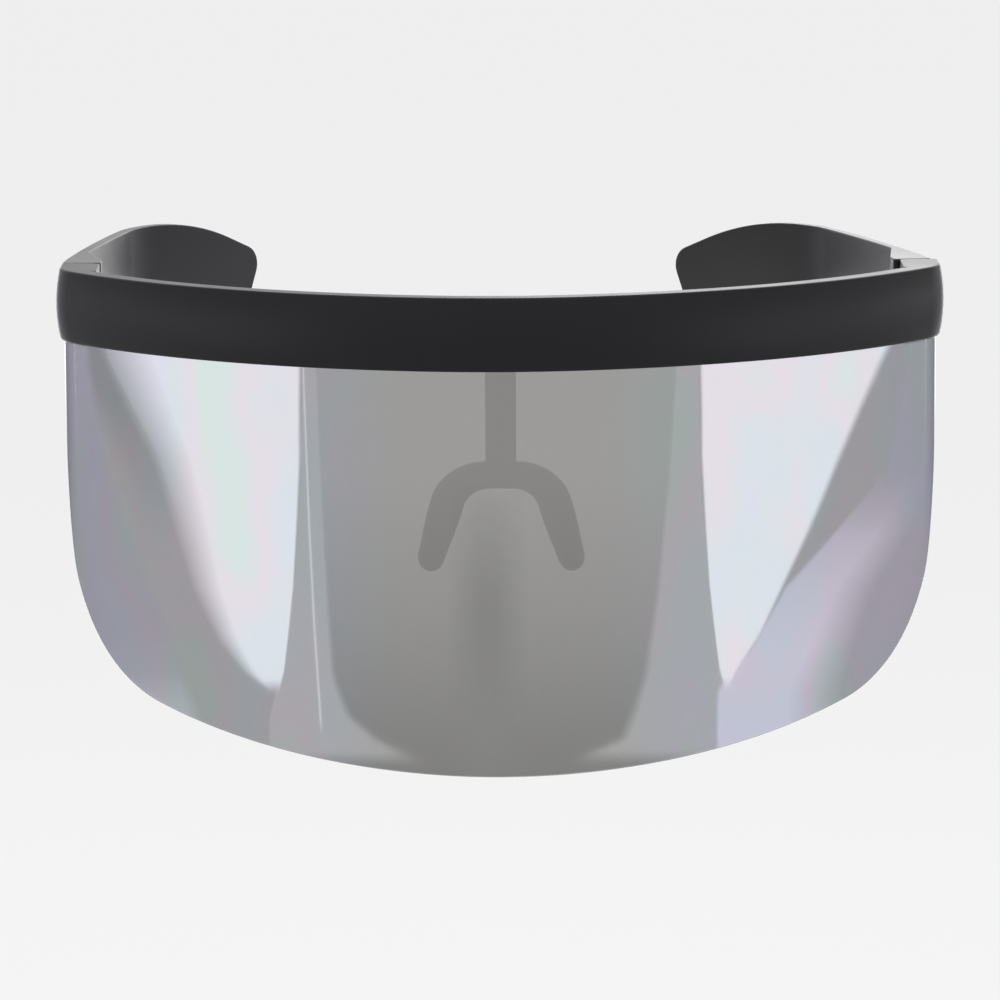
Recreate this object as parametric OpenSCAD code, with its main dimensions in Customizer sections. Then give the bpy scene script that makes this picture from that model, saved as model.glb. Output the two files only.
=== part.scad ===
/* [Bar] */
// Plan radius of the middle of the bar's front face
centre_r = 80; // [60:1:140]
// Half angle covered by the middle arc
centre_half_angle = 11.5; // [6:0.5:18]
// Plan radius of each side of the bar's front face
side_r = 113; // [95:1:140]
// Angle covered by each side arc
side_angle = 41.4; // [34:0.2:46]
// Plan radius of each front corner
corner_r = 13; // [10:0.5:18]
// Straight run from the corner back to the temple's joint
end_run = 6.5; // [6:0.1:10]
// Height of the bar
bar_h = 14; // [12:0.2:20]
// Depth of the bar from its front to its back
bar_t = 4.8; // [4.4:0.1:6]
// Swell of the front face at half its height
crown = 0.8; // [0.3:0.1:1.2]
// Rounding of the bar's front edges
front_edge_r = 0.7; // [0.3:0.05:0.9]
// Rounding of the bar's back edges
back_edge_r = 0.35; // [0.1:0.05:0.5]
// Height of the solid top wall over the lens channel
top_wall = 3.2; // [2:0.1:4.5]
// Angle left solid between the end of the lens channel and the corner
channel_stop_angle = 3; // [2:0.5:6]

/* [Lens] */
// Thickness of the lens
lens_t = 1.8; // [1.4:0.1:2.2]
// Depth of the lens behind the bar's front face
lens_inset = 1.55; // [1.4:0.05:1.8]
// Drop from the bar's top to the lowest edge of the lens
lens_drop = 91.3; // [75:0.5:105]
// Distance from the lens's side edge to the end of the bar's corner, along the bar
lens_margin = 1; // [0.6:0.1:3]
// Flat pattern angle of the lower edge, each side of the middle
lower_edge_angle = 15.3; // [12:0.1:17]
// Flat pattern radius of the lower corners
lens_corner_r = 37.3; // [28:0.1:42]
// Flat pattern angle of the lower corners
lens_corner_angle = 60.1; // [55:0.1:65]
// Flat pattern radius of the side edges
side_edge_r = 170; // [120:1:220]
// Gap between the bar's underside and the lens outside the channel
lens_ledge_gap = 0.15; // [0.1:0.05:0.4]

/* [Lens fixing] */
// Distance from the middle, along the bar, of the post's screws
post_screw_place = 5; // [4:0.1:6]
// Radius of the bosses that the lens hangs on
boss_r = 1.6; // [1.3:0.05:2]
// Radius of the small screws' shanks
screw_r = 0.7; // [0.5:0.05:0.9]
// Radius of the small screws' heads
screw_head_r = 1.35; // [1.1:0.05:1.5]
// Height of the small screws' heads
screw_head_h = 0.7; // [0.5:0.05:0.8]
// Plastic left between a screw's tip and the front face
blind_wall = 0.7; // [0.5:0.05:1]
// Rim left below the strip
strip_rim = 0.4; // [0.2:0.1:1]

/* [Nose piece] */
// Depth of the saddle's middle behind the bar's front face
saddle_depth = 16; // [14.5:0.5:20]
// Drop from the bar's top to the saddle's middle
saddle_drop = 35.7; // [32:0.1:42]
// Backward lean of the post and the saddle
rake = 20; // [15:1:24]
// Width of the post
post_w = 5.8; // [4.6:0.1:7]
// Thickness of the post
post_t = 2.6; // [2:0.1:3]
// Width of the flange at the post's top
flange_w = 17; // [15:0.5:20]
// Height of the flange at the post's top
flange_h = 8.4; // [6.5:0.1:9]
// Thickness of the flange at the post's top
flange_t = 1.7; // [1.4:0.1:2]
// Half of the saddle's level top
saddle_flat = 2.5; // [1.5:0.1:4]
// Radius of the saddle's shoulders
shoulder_r = 8; // [6.5:0.1:10]
// Turn of the saddle's shoulders
shoulder_angle = 75; // [66:1:82]
// Length of the straight part of each leg
leg_len = 14.8; // [10:0.1:17]

/* [Temples] */
// Thickness of the temple
arm_t = 3.2; // [2.6:0.1:4]
// Height of the temple past its bend
arm_h = 12.6; // [11:0.1:13.5]
// Length of the front stretch that turns inward from the hinge
block_len = 8; // [7:0.5:12]
// Turn inward over that front stretch
block_turn = 6.7; // [5:0.1:9]
// Plan radius of the long front stretch
arm_run_r = 515; // [400:5:900]
// Angle of the long front stretch
arm_run_angle = 5.1; // [3:0.1:6]
// Plan radius of the bend round the head
bend_r = 24; // [20:1:40]
// Angle of the bend round the head
bend_angle = 29; // [22:1:34]
// Radius of the droop behind the ear
droop_r = 60; // [50:1:80]
// Angle of the droop behind the ear
droop_angle = 22.5; // [16:0.5:27]
// Length of the straight tip
tip_run = 10; // [8:0.5:14]
// Rounding of the tip's corners
tip_r = 3.8; // [3:0.1:5.8]
// Fold of the left temple from its open stop, at rest
left_rest_fold = 9; // [0:1:15]
// Fold of the right temple from its open stop, at rest
right_rest_fold = 0; // [0:1:15]

/* [Hinges] */
// Radius of the knuckle on the temple
knuckle_r = 2.9; // [2.6:0.05:3.2]
// Thickness of the bar's ears above and below the knuckle
ear_t = 3.4; // [3:0.1:4]
// Wall outside the knuckle
ear_wall = 1.6; // [1.2:0.1:2]
// Inward thickening of the bar that makes the ears
ear_pad = 3.4; // [2.5:0.1:4]
// How far the temple's block reaches inward past the ear
block_lap = 0.2; // [0.1:0.1:2]
// Front to back length of the block's full width
block_lead = 2.5; // [1.5:0.1:5]
// Angle at which the block narrows into the temple
block_fade_angle = 13; // [10:1:20]
// Rounding where the block starts to narrow
block_round_r = 9; // [4:1:15]
// Radius of the hinge screw where the knuckle turns on it
pin_r = 1; // [0.8:0.05:1.2]
// Radius of the hinge screw's head
pin_head_r = 1.6; // [1.4:0.05:1.8]
// Height of the hinge screw's head
pin_head_h = 1; // [0.7:0.1:1.4]
// Radius of the hinge screw's threaded end
pin_thread_r = 0.8; // [0.5:0.05:0.9]
// Radius of the brass insert
insert_r = 1.6; // [1.4:0.05:1.9]
// Height of the brass insert
insert_h = 2.2; // [1.6:0.1:2.6]

/* [Hidden] */
$fn = 96;
// Steps of the rounded edges and the swelling front, and degrees of a step along an arc in plan
edge_steps = 3;
swell_steps = 10;
plan_step = 2;
// Steps of the lens's lower edge, corners and sides
lens_curve_steps = 18;
lens_side_steps = 5;
// Steps along half of the nose saddle, and sides of its section
leg_steps = 22;
leg_sides = 20;
// Steps of the temple's stretches, from its hinge to its tip
block_steps = 3;
arm_run_steps = 4;
bend_steps = 14;
droop_steps = 10;
// Overrun of cuts past the faces they open
cut = 1;
// Clearance between fixed pieces that slip together
slip = 0.05;
// Clearance between a screw and the core it cuts its thread in
thread_slip = 0.02;
// Radial clearance where the knuckle turns on its screw
running = 0.04;
// Gap between faces that pass each other as a temple swings
swing_gap = 0.1;
// Clearance round the knuckle inside its pocket
pocket_gap = 0.2;
// Shares of the lens channel's half length at which the strip's screws stand
strip_screw_shares = [0.33, 0.63, 0.935];
// Shares of the rounding at each leg's end at which the saddle is drawn
leg_tip_shares = [0.35, 0.65, 0.85, 0.96];
// Shares of the tip's rounding at which the temple is drawn, from its start to its end
tip_shares = [0, 0.4, 0.7, 0.9, 1];
// Share of the head's height that the driver's cross reaches down
recess_share = 0.6;
// Share of the head's radius that the driver's cross reaches out
recess_reach_share = 0.62;
// Share of the head's radius that is one bar of the driver's cross
recess_bar_share = 0.26;

// Turns from straight ahead at the ends of the arcs, and their lengths along the front face
turn_1 = centre_half_angle;
turn_2 = turn_1 + side_angle;
run_1 = centre_r * turn_1 * PI / 180;
run_2 = run_1 + side_r * side_angle * PI / 180;
run_3 = run_2 + corner_r * (90 - turn_2) * PI / 180;
function inward(turn) = [-sin(turn), cos(turn)];
side_centre = [0, centre_r] - (centre_r - side_r) * inward(turn_1);
corner_centre = side_centre - (side_r - corner_r) * inward(turn_2);
end_x = corner_centre[0] + corner_r;
joint_y = corner_centre[1] + end_run;
// Turn and place on the front face at a distance from the middle, then at a depth behind it
function turn_at(s) = s < run_1 ? s / centre_r * 180 / PI
    : s < run_2 ? turn_1 + (s - run_1) / side_r * 180 / PI
    : s < run_3 ? turn_2 + (s - run_2) / corner_r * 180 / PI : 90;
function face_at(s) = s < run_1 ? [0, centre_r] - centre_r * inward(turn_at(s))
    : s < run_2 ? side_centre - side_r * inward(turn_at(s))
    : s < run_3 ? corner_centre - corner_r * inward(turn_at(s))
    : [end_x, corner_centre[1] + s - run_3];
function place_at(s, depth) = face_at(s) + depth * inward(turn_at(s));
channel_end = run_2 - side_r * channel_stop_angle * PI / 180;
strip_screw_places = channel_end * strip_screw_shares;
screw_z = -bar_h / 2;
strip_front = lens_inset + lens_t + slip;
// The hinge's axis in plan, and the distance from it to the temple's front face
hinge_x = end_x - ear_wall - pocket_gap - knuckle_r;
hinge_y = corner_centre[1];
face_reach = joint_y + swing_gap - hinge_y;
ear_x = end_x - bar_t - ear_pad;
block_x = ear_x - block_lap;
pocket_r = knuckle_r + pocket_gap;
// The seat on the nose, which is the origin
saddle_half = 2.5;
shoulder_half = 3.2;
leg_half = 2.5;
saddle_depth_half = 2.7;
leg_depth_half = 3.3;
seat_y = saddle_depth + saddle_half * sin(rake);
seat_drop = saddle_drop + saddle_half * cos(rake);
// The tongue on the post that holds the saddle
tongue_w = 3.6;
tongue_t = 1.6;
tongue_l = 3;

// Puts what is drawn from the bar's top and front into the frame of the nose seat
module from_seat() {
    translate([0, -seat_y, seat_drop]) children();
}

// Draws on the wearer's left (+X) or, mirrored, on the right
module on_side(side) {
    mirror([side < 0 ? 1 : 0, 0, 0]) children();
}

// Points along an arc, from one angle to another
function arc_points(centre, r, from, to, steps) =
    [for (i = [0 : steps]) let (a = from + (to - from) * i / steps) centre + r * [cos(a), sin(a)]];

// Outline with a swelling front and rounded edges, as depth behind the front and height below the top.
// The four points in back_corner stand for its lower back corner.
function crowned_outline(depth, height, edge, back_edge, back_corner = []) =
    let (swell_r = (height * height / 4 + crown * crown) / (2 * crown),
         fillet_w = swell_r - sqrt(pow(swell_r - edge, 2) - pow(height / 2 - edge, 2)),
         lean = atan2(height / 2 - edge, swell_r - fillet_w),
         swell = arc_points([swell_r, -height / 2], swell_r, 180 + lean, 180 - lean, swell_steps),
         corner = arc_points([depth - back_edge, back_edge - height], back_edge, 0, -90, edge_steps))
    concat([for (i = [1 : swell_steps - 1]) swell[i]],
           arc_points([fillet_w, -edge], edge, 180 - lean, 90, edge_steps),
           arc_points([depth - back_edge, -back_edge], back_edge, 90, 0, edge_steps),
           len(back_corner) > 0 ? back_corner : corner,
           arc_points([fillet_w, edge - height], edge, -90, lean - 180, edge_steps));

// Solid through closed rings of points, each joined to the next
module sweep(rings) {
    count = len(rings[0]);
    polyhedron([for (ring = rings) each ring], concat(
        [[for (j = [count - 1 : -1 : 0]) j]],
        [for (i = [0 : len(rings) - 2], j = [0 : count - 1]) let (k = (j + 1) % count)
            each [[i * count + j, i * count + k, (i + 1) * count + k],
                  [i * count + j, (i + 1) * count + k, (i + 1) * count + j]]],
        [[for (j = [0 : count - 1]) (len(rings) - 1) * count + j]]));
}

// Distances from the middle at which the bar is drawn, out to its end
function arc_runs(start, r, angle) =
    [for (i = [1 : ceil(angle / plan_step)]) start + r * angle * PI / 180 * i / ceil(angle / plan_step)];
bar_runs = concat(arc_runs(0, centre_r, turn_1), arc_runs(run_1, side_r, side_angle),
                  arc_runs(run_2, corner_r, 90 - turn_2), [run_3 + end_run + cut]);
function mirrored(runs) = concat([for (i = [len(runs) - 1 : -1 : 0]) -runs[i]], [0], runs);

// Carries an outline along the bar, out to a distance each side of the middle
module along_bar(outline, reach) {
    sweep([for (s = mirrored(concat([for (run = bar_runs) if (run < reach) run], [reach])))
        [for (p = outline) let (spot = place_at(abs(s), p[0])) [sign(s) * spot[0], spot[1], p[1]]]]);
}

// Corners of a plain oblong between two depths and two heights
function oblong(front, back, low, high) = [[front, low], [front, high], [back, high], [back, low]];

// Stands its children on the front face, with their own height pointing into the bar
module into_bar(s, depth) {
    spot = place_at(s, depth);
    translate([spot[0], spot[1], screw_z]) rotate([0, 0, turn_at(s)]) rotate([-90, 0, 0]) children();
}

// Repeats its children at every small screw
module at_screws() {
    for (side = [-1, 1], s = concat([post_screw_place], strip_screw_places))
        on_side(side) into_bar(s, 0) children();
}

// The thickening that the pin passes through, its back corner rounded for the swing
module ears() {
    for (side = [-1, 1]) on_side(side) translate([0, 0, -bar_h]) linear_extrude(bar_h) difference() {
        translate([ear_x, hinge_y - end_run]) square([ear_pad + 2 * back_edge_r, 2 * end_run + cut]);
        difference() {
            translate([ear_x - cut, hinge_y]) square([hinge_x - ear_x + cut, end_run + 2 * cut]);
            translate([hinge_x, hinge_y]) circle(r = face_reach - 2 * swing_gap);
        }
    }
}

module hinge_cuts() {
    for (side = [-1, 1]) on_side(side) translate([hinge_x, hinge_y, 0]) {
        // Pocket that the knuckle and its web turn in
        translate([0, 0, ear_t - bar_h]) linear_extrude(bar_h - 2 * ear_t) {
            circle(r = pocket_r);
            translate([ear_x - cut - hinge_x, -pocket_r])
                square([hinge_x - ear_x + cut, pocket_r + end_run + 2 * cut]);
            square([pocket_r, end_run + 2 * cut]);
        }
        // Way in for the screw from below, and the seat of the insert
        translate([0, 0, -bar_h - cut]) cylinder(r = pin_r + slip, h = bar_h / 2 + cut);
        translate([0, 0, -bar_h - cut]) cylinder(r = pin_head_r + slip, h = pin_head_h + cut);
        translate([0, 0, -ear_t - cut]) cylinder(r = insert_r + thread_slip, h = insert_h + cut);
    }
}

// The bar's body: a wall in front of the lens and one over it, and solid past the channel's end
module bar_body() {
    solid = crowned_outline(bar_t, bar_h, front_edge_r, back_edge_r);
    wall_w = lens_inset - slip;
    channelled = crowned_outline(bar_t, bar_h, front_edge_r, back_edge_r,
        [[bar_t, -top_wall], [wall_w, -top_wall], [wall_w, -bar_h / 2], [wall_w, -bar_h]]);
    runs = concat([for (s = bar_runs) if (s < channel_end - lens_t) s], [channel_end, channel_end + slip],
                  [for (s = bar_runs) if (s > channel_end + lens_t) s]);
    sweep([for (s = mirrored(runs))
        [for (p = abs(s) > channel_end ? solid : channelled)
            let (spot = place_at(abs(s), p[0])) [sign(s) * spot[0], spot[1], p[1]]]]);
}

module brow_bar() {
    color("#232325") from_seat() difference() {
        union() {
            bar_body();
            ears();
            at_screws() translate([0, 0, lens_inset / 2])
                cylinder(r = boss_r, h = lens_inset / 2 + lens_t - slip);
        }
        hinge_cuts();
        at_screws() translate([0, 0, blind_wall])
            cylinder(r = screw_r + thread_slip, h = strip_front);
        // Both ends finish in one plane in front of the temples
        translate([-end_x - cut, joint_y, -bar_h - cut])
            cube([2 * end_x + 2 * cut, 2 * cut, bar_h + 2 * cut]);
    }
}

// Flat pattern of the lens: the centres of its lower edge's three arcs, as distance and height
edge_turn = lower_edge_angle + lens_corner_angle;
lower_edge_r = lens_corner_r + (run_3 - lens_margin - side_edge_r
    + (side_edge_r - lens_corner_r) * sin(edge_turn)) / sin(lower_edge_angle);
edge_1 = [0, lower_edge_r - lens_drop];
edge_2 = edge_1 - (lower_edge_r - lens_corner_r) * inward(lower_edge_angle);
edge_3 = edge_2 - (lens_corner_r - side_edge_r) * inward(edge_turn);
corner_run = lower_edge_r * sin(lower_edge_angle);
side_run = edge_2[0] + lens_corner_r * sin(edge_turn);
function lens_edge(s) = s < corner_run ? edge_1[1] - sqrt(pow(lower_edge_r, 2) - s * s)
    : s < side_run ? edge_2[1] - sqrt(pow(lens_corner_r, 2) - pow(s - edge_2[0], 2))
    : edge_3[1] - sqrt(pow(side_edge_r, 2) - pow(s - edge_3[0], 2));
// Where the side edge would meet the bar, and the shoulder where the lens leaves the channel
lens_ledge = -bar_h - lens_ledge_gap;
lens_reach = edge_3[0] + sqrt(pow(side_edge_r, 2) - pow(edge_3[1] - lens_ledge + bar_h / 4, 2));
lens_shoulder = channel_end - slip - lens_t / 2;
lens_runs = concat([for (i = [1 : lens_curve_steps])
                        lower_edge_r * sin(lower_edge_angle * i / lens_curve_steps)],
                   [for (i = [1 : lens_curve_steps]) edge_2[0] + lens_corner_r
                       * sin(lower_edge_angle + lens_corner_angle * i / lens_curve_steps)],
                   [for (i = [1 : lens_side_steps])
                       side_run + (lens_reach - side_run) * i / lens_side_steps]);

module shield_lens() {
    high = -top_wall - slip;
    runs = concat([for (s = lens_runs) if (s < lens_shoulder) s],
                  [lens_shoulder, lens_shoulder + lens_t / 2],
                  [for (s = lens_runs) if (s > lens_shoulder + lens_t / 2) s]);
    color("#9aa0aa") from_seat() difference() {
        sweep([for (s = mirrored(runs))
            let (top = abs(s) > lens_shoulder ? lens_ledge : high)
            [for (p = oblong(lens_inset, lens_inset + lens_t, lens_edge(abs(s)), top))
                let (spot = place_at(abs(s), p[0])) [sign(s) * spot[0], spot[1], p[1]]]]);
        at_screws() cylinder(r = boss_r + 2 * slip, h = bar_t);
    }
}

module lens_retainer() {
    color("#1d1d1f") from_seat() difference() {
        along_bar(oblong(strip_front, bar_t, strip_rim - bar_h, -top_wall - slip), channel_end - slip);
        at_screws() cylinder(r = screw_r + slip, h = bar_t + cut);
        for (side = [-1, 1], s = strip_screw_places) on_side(side)
            into_bar(s, bar_t - screw_head_h) cylinder(r = screw_head_r + slip, h = screw_head_h + cut);
    }
}

// A screw with its head's top at height zero, pointing down, with a cross for the driver
module small_screw(head_r, head_h, shank_r, shank_l) {
    difference() {
        union() {
            translate([0, 0, -head_h]) cylinder(r = head_r, h = head_h);
            translate([0, 0, -head_h - shank_l]) cylinder(r = shank_r, h = shank_l + head_h / 2);
        }
        for (turn = [0, 90]) rotate([0, 0, turn])
            translate([-head_r * recess_reach_share, -head_r * recess_bar_share / 2,
                       -head_h * recess_share])
                cube([2 * head_r * recess_reach_share, head_r * recess_bar_share, head_h]);
    }
}

module strip_screw(side, index) {
    color("#55565a") from_seat() on_side(side) into_bar(strip_screw_places[index], bar_t)
        small_screw(screw_head_r, screw_head_h, screw_r, bar_t - screw_head_h - blind_wall - slip);
}

module post_screw(side) {
    color("#55565a") from_seat() on_side(side) into_bar(post_screw_place, bar_t + slip + flange_t)
        small_screw(screw_head_r, screw_head_h, screw_r,
                    bar_t + flange_t - screw_head_h - blind_wall);
}

// Places what is drawn flat in the leaning plane of the nose piece: x across, y back, z up
module leaning() {
    translate([0, saddle_depth, -saddle_drop]) rotate([rake, 0, 0]) children();
}

module nose_post() {
    half_turn = flange_w / 2 / centre_r * 180 / PI;
    post_top = (saddle_drop + screw_z) / cos(rake);
    color("#1d1d1f") from_seat() difference() {
        union() {
            translate([0, centre_r, screw_z - flange_h / 2]) rotate([0, 0, -90 - half_turn])
                rotate_extrude(angle = 2 * half_turn)
                    translate([centre_r - bar_t - slip - flange_t, 0]) square([flange_t, flange_h]);
            leaning() {
                translate([-post_w / 2, -post_t / 2, saddle_half + slip])
                    cube([post_w, post_t, post_top - saddle_half]);
                translate([-tongue_w / 2, -tongue_t / 2, saddle_half - tongue_l])
                    cube([tongue_w, tongue_t, tongue_l + cut]);
            }
        }
        // The bar and its strip fill what is in front of the flange
        translate([0, centre_r, -bar_h - cut]) difference() {
            cylinder(r = centre_r + cut, h = bar_h + 2 * cut);
            translate([0, 0, -cut]) cylinder(r = centre_r - bar_t - slip, h = bar_h + 4 * cut);
        }
        for (side = [-1, 1]) on_side(side) into_bar(post_screw_place, bar_t) {
            cylinder(r = screw_r + slip, h = flange_t + cut);
            translate([0, 0, slip + flange_t - screw_head_h])
                cylinder(r = screw_head_r + slip, h = flange_t);
        }
    }
}

// The saddle's middle line from the top round one shoulder and down a leg: across, down, and turn
shoulder_run = shoulder_r * shoulder_angle * PI / 180;
saddle_run = saddle_flat + shoulder_run + leg_len;
function saddle_turn(s) = s < saddle_flat ? 0
    : min(shoulder_angle, (s - saddle_flat) / shoulder_r * 180 / PI);
function saddle_line(s) = s < saddle_flat ? [s, 0]
    : let (turn = saddle_turn(s), past = max(0, s - saddle_flat - shoulder_run))
      [saddle_flat + shoulder_r * sin(turn) + past * cos(turn),
       shoulder_r * (1 - cos(turn)) + past * sin(turn)];
// Half width and half depth of the saddle there, rounded off at the leg's end
function blend(a, b, share) = a + (b - a) * (1 - cos(180 * min(1, max(0, share)))) / 2;
function saddle_width(s) = s < saddle_run / 2 ? blend(saddle_half, shoulder_half, 2 * s / saddle_run)
    : blend(shoulder_half, leg_half, 2 * s / saddle_run - 1);
function saddle_bulk(s) = blend(saddle_depth_half, leg_depth_half, s / saddle_run);
function end_round(s) = s < saddle_run - leg_half ? 1
    : sqrt(max(0, 1 - pow((s - saddle_run + leg_half) / leg_half, 2)));

module nose_saddle() {
    half = concat([for (i = [1 : leg_steps]) (saddle_run - leg_half) * i / leg_steps],
                  [for (share = leg_tip_shares) saddle_run - leg_half * (1 - share)]);
    rings = [for (at = mirrored(half))
        let (side = sign(at), s = abs(at), line = saddle_line(s), turn = saddle_turn(s),
             wide = saddle_width(s) * end_round(s), deep = saddle_bulk(s) * end_round(s))
        [for (j = [0 : leg_sides - 1])
            let (a = 360 * j / leg_sides, out = wide * cos(a), back = deep * sin(a))
            [side * (line[0] + out * sin(turn)), back, out * cos(turn) - line[1]]]];
    color("#2b2b2d") from_seat() leaning() difference() {
        sweep(rings);
        translate([-tongue_w / 2 - slip, -tongue_t / 2 - slip, saddle_half - tongue_l - slip])
            cube([tongue_w + 2 * slip, tongue_t + 2 * slip, tongue_l + cut]);
        // Level seat for the post's end
        translate([-post_w / 2 - slip, -post_t / 2 - slip, saddle_half])
            cube([post_w + 2 * slip, post_t + 2 * slip, cut]);
    }
}

// One ring of the temple: its outer face's top corner, its turn inward, its droop, and its outline
function arm_ring(corner, turn, droop, outline) =
    let (out = [cos(turn), sin(turn), 0],
         up = [-sin(turn) * sin(droop), cos(turn) * sin(droop), cos(droop)])
    [for (p = outline) corner - p[0] * out + p[1] * up];

// The temple in its open place, on the wearer's left
front_y = joint_y + swing_gap;
function outward(turn) = [cos(turn), sin(turn), 0];
block_r = block_len / (block_turn * PI / 180);
block_centre = [end_x - block_r, front_y, 0];
run_turn = block_turn + arm_run_angle;
run_centre = block_centre + (block_r - arm_run_r) * outward(block_turn);
bend_turn = run_turn + bend_angle;
bend_centre = run_centre + (arm_run_r - bend_r) * outward(run_turn);
droop_start = bend_centre + bend_r * outward(bend_turn);
function arm_height(share) = bar_h + (arm_h - bar_h) * share;
function arm_outline(height) = crowned_outline(arm_t, height, front_edge_r, back_edge_r);
// Point on the drooping top edge, at an angle down and a straight distance past it
function droop_corner(angle, past) = let (ahead = droop_r * sin(angle) + past * cos(angle))
    droop_start + [-ahead * sin(bend_turn), ahead * cos(bend_turn),
                   droop_r * (cos(angle) - 1) - past * sin(angle)];
// How far the rounded tip draws in at its top and bottom, at a distance from its end
function tip_inset(left) = left > tip_r ? 0 : tip_r - sqrt(pow(tip_r, 2) - pow(tip_r - left, 2));

// Inner side of the block in plan, from its front corner back to the middle of the temple's thickness
fade_start = [block_x + block_round_r, front_y + block_lead]
    + block_round_r * [-cos(block_fade_angle), sin(block_fade_angle)];
arm_middle = block_centre + (block_r - arm_t / 2) * outward(block_turn);
fade_run = ((arm_middle[0] - fade_start[0]) * cos(block_turn) + (arm_middle[1] - fade_start[1])
    * sin(block_turn)) / sin(block_fade_angle + block_turn);
block_side = concat(
    arc_points([block_x + front_edge_r, front_y + front_edge_r], front_edge_r, 270, 180, edge_steps),
    arc_points([block_x + block_round_r, front_y + block_lead], block_round_r,
               180, 180 - block_fade_angle, edge_steps),
    [fade_start + fade_run * [sin(block_fade_angle), cos(block_fade_angle)]]);

module open_temple() {
    rings = concat(
        [for (i = [0 : block_steps]) let (turn = block_turn * i / block_steps)
            arm_ring(block_centre + block_r * outward(turn), turn, 0, arm_outline(bar_h))],
        [for (i = [1 : arm_run_steps]) let (turn = block_turn + arm_run_angle * i / arm_run_steps)
            arm_ring(run_centre + arm_run_r * outward(turn), turn, 0, arm_outline(bar_h))],
        [for (i = [1 : bend_steps]) let (turn = run_turn + bend_angle * i / bend_steps)
            arm_ring(bend_centre + bend_r * outward(turn), turn, 0,
                     arm_outline(arm_height(i / bend_steps)))],
        [for (i = [1 : droop_steps]) let (droop = droop_angle * i / droop_steps)
            arm_ring(droop_corner(droop, 0), bend_turn, droop, arm_outline(arm_h))],
        [for (share = tip_shares) let (left = tip_r * (1 - share), inset = tip_inset(left))
            arm_ring(droop_corner(droop_angle, tip_run - left), bend_turn, droop_angle,
                     [for (p = arm_outline(arm_h - 2 * inset)) p - [0, inset]])]);
    difference() {
        union() {
            sweep(rings);
            // Block that laps inward past the ear, and the knuckle on its web
            translate([0, 0, -bar_h]) linear_extrude(bar_h)
                polygon(concat(block_side, [[end_x - arm_t / 2, front_y]]));
            translate([hinge_x, hinge_y, ear_t + swing_gap - bar_h])
                linear_extrude(bar_h - 2 * ear_t - 2 * swing_gap) {
                    circle(r = knuckle_r);
                    translate([-knuckle_r, 0]) square([2 * knuckle_r, face_reach + cut]);
                }
        }
        // Bore for the hinge screw
        translate([hinge_x, hinge_y, -bar_h]) cylinder(r = pin_r + running, h = bar_h);
    }
}

// A temple turned inward about its pin by its fold at rest
module temple(side, fold) {
    color("#242426") from_seat() on_side(side)
        translate([hinge_x, hinge_y, 0]) rotate([0, 0, fold]) translate([-hinge_x, -hinge_y, 0])
            open_temple();
}

module hinge_screw(side) {
    grip = bar_h - ear_t - pin_head_h;
    color("#6a6b70") from_seat() on_side(side) translate([hinge_x, hinge_y, -bar_h]) mirror([0, 0, 1]) {
        small_screw(pin_head_r, pin_head_h, pin_r, grip);
        translate([0, 0, -pin_head_h - grip - insert_h + slip]) cylinder(r = pin_thread_r, h = insert_h);
    }
}

module hinge_insert(side) {
    color("#b08d4a") from_seat() on_side(side) translate([hinge_x, hinge_y, slip - ear_t]) difference() {
        cylinder(r = insert_r, h = insert_h - slip);
        translate([0, 0, -cut]) cylinder(r = pin_thread_r + thread_slip, h = insert_h + 2 * cut);
    }
}

brow_bar();
shield_lens();
lens_retainer();
nose_post();
nose_saddle();
strip_screw(1, 0);  // retainer_screw_left_1
strip_screw(1, 1);  // retainer_screw_left_2
strip_screw(1, 2);  // retainer_screw_left_3
strip_screw(-1, 0);  // retainer_screw_right_1
strip_screw(-1, 1);  // retainer_screw_right_2
strip_screw(-1, 2);  // retainer_screw_right_3
post_screw(1);  // post_screw_left
post_screw(-1);  // post_screw_right
temple(1, left_rest_fold);  // temple_left
temple(-1, right_rest_fold);  // temple_right
hinge_screw(1);  // hinge_screw_left
hinge_screw(-1);  // hinge_screw_right
hinge_insert(1);  // hinge_insert_left
hinge_insert(-1);  // hinge_insert_right
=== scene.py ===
"""Shield sunglasses: a crowned brow bar, one tall mirrored lens, a nose piece and two hinged temples."""
import logging
import math
from dataclasses import dataclass, field
from enum import Enum
from functools import cached_property
from typing import Any

import bmesh
import bpy
import numpy as np
from mathutils import Matrix, Vector


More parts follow.
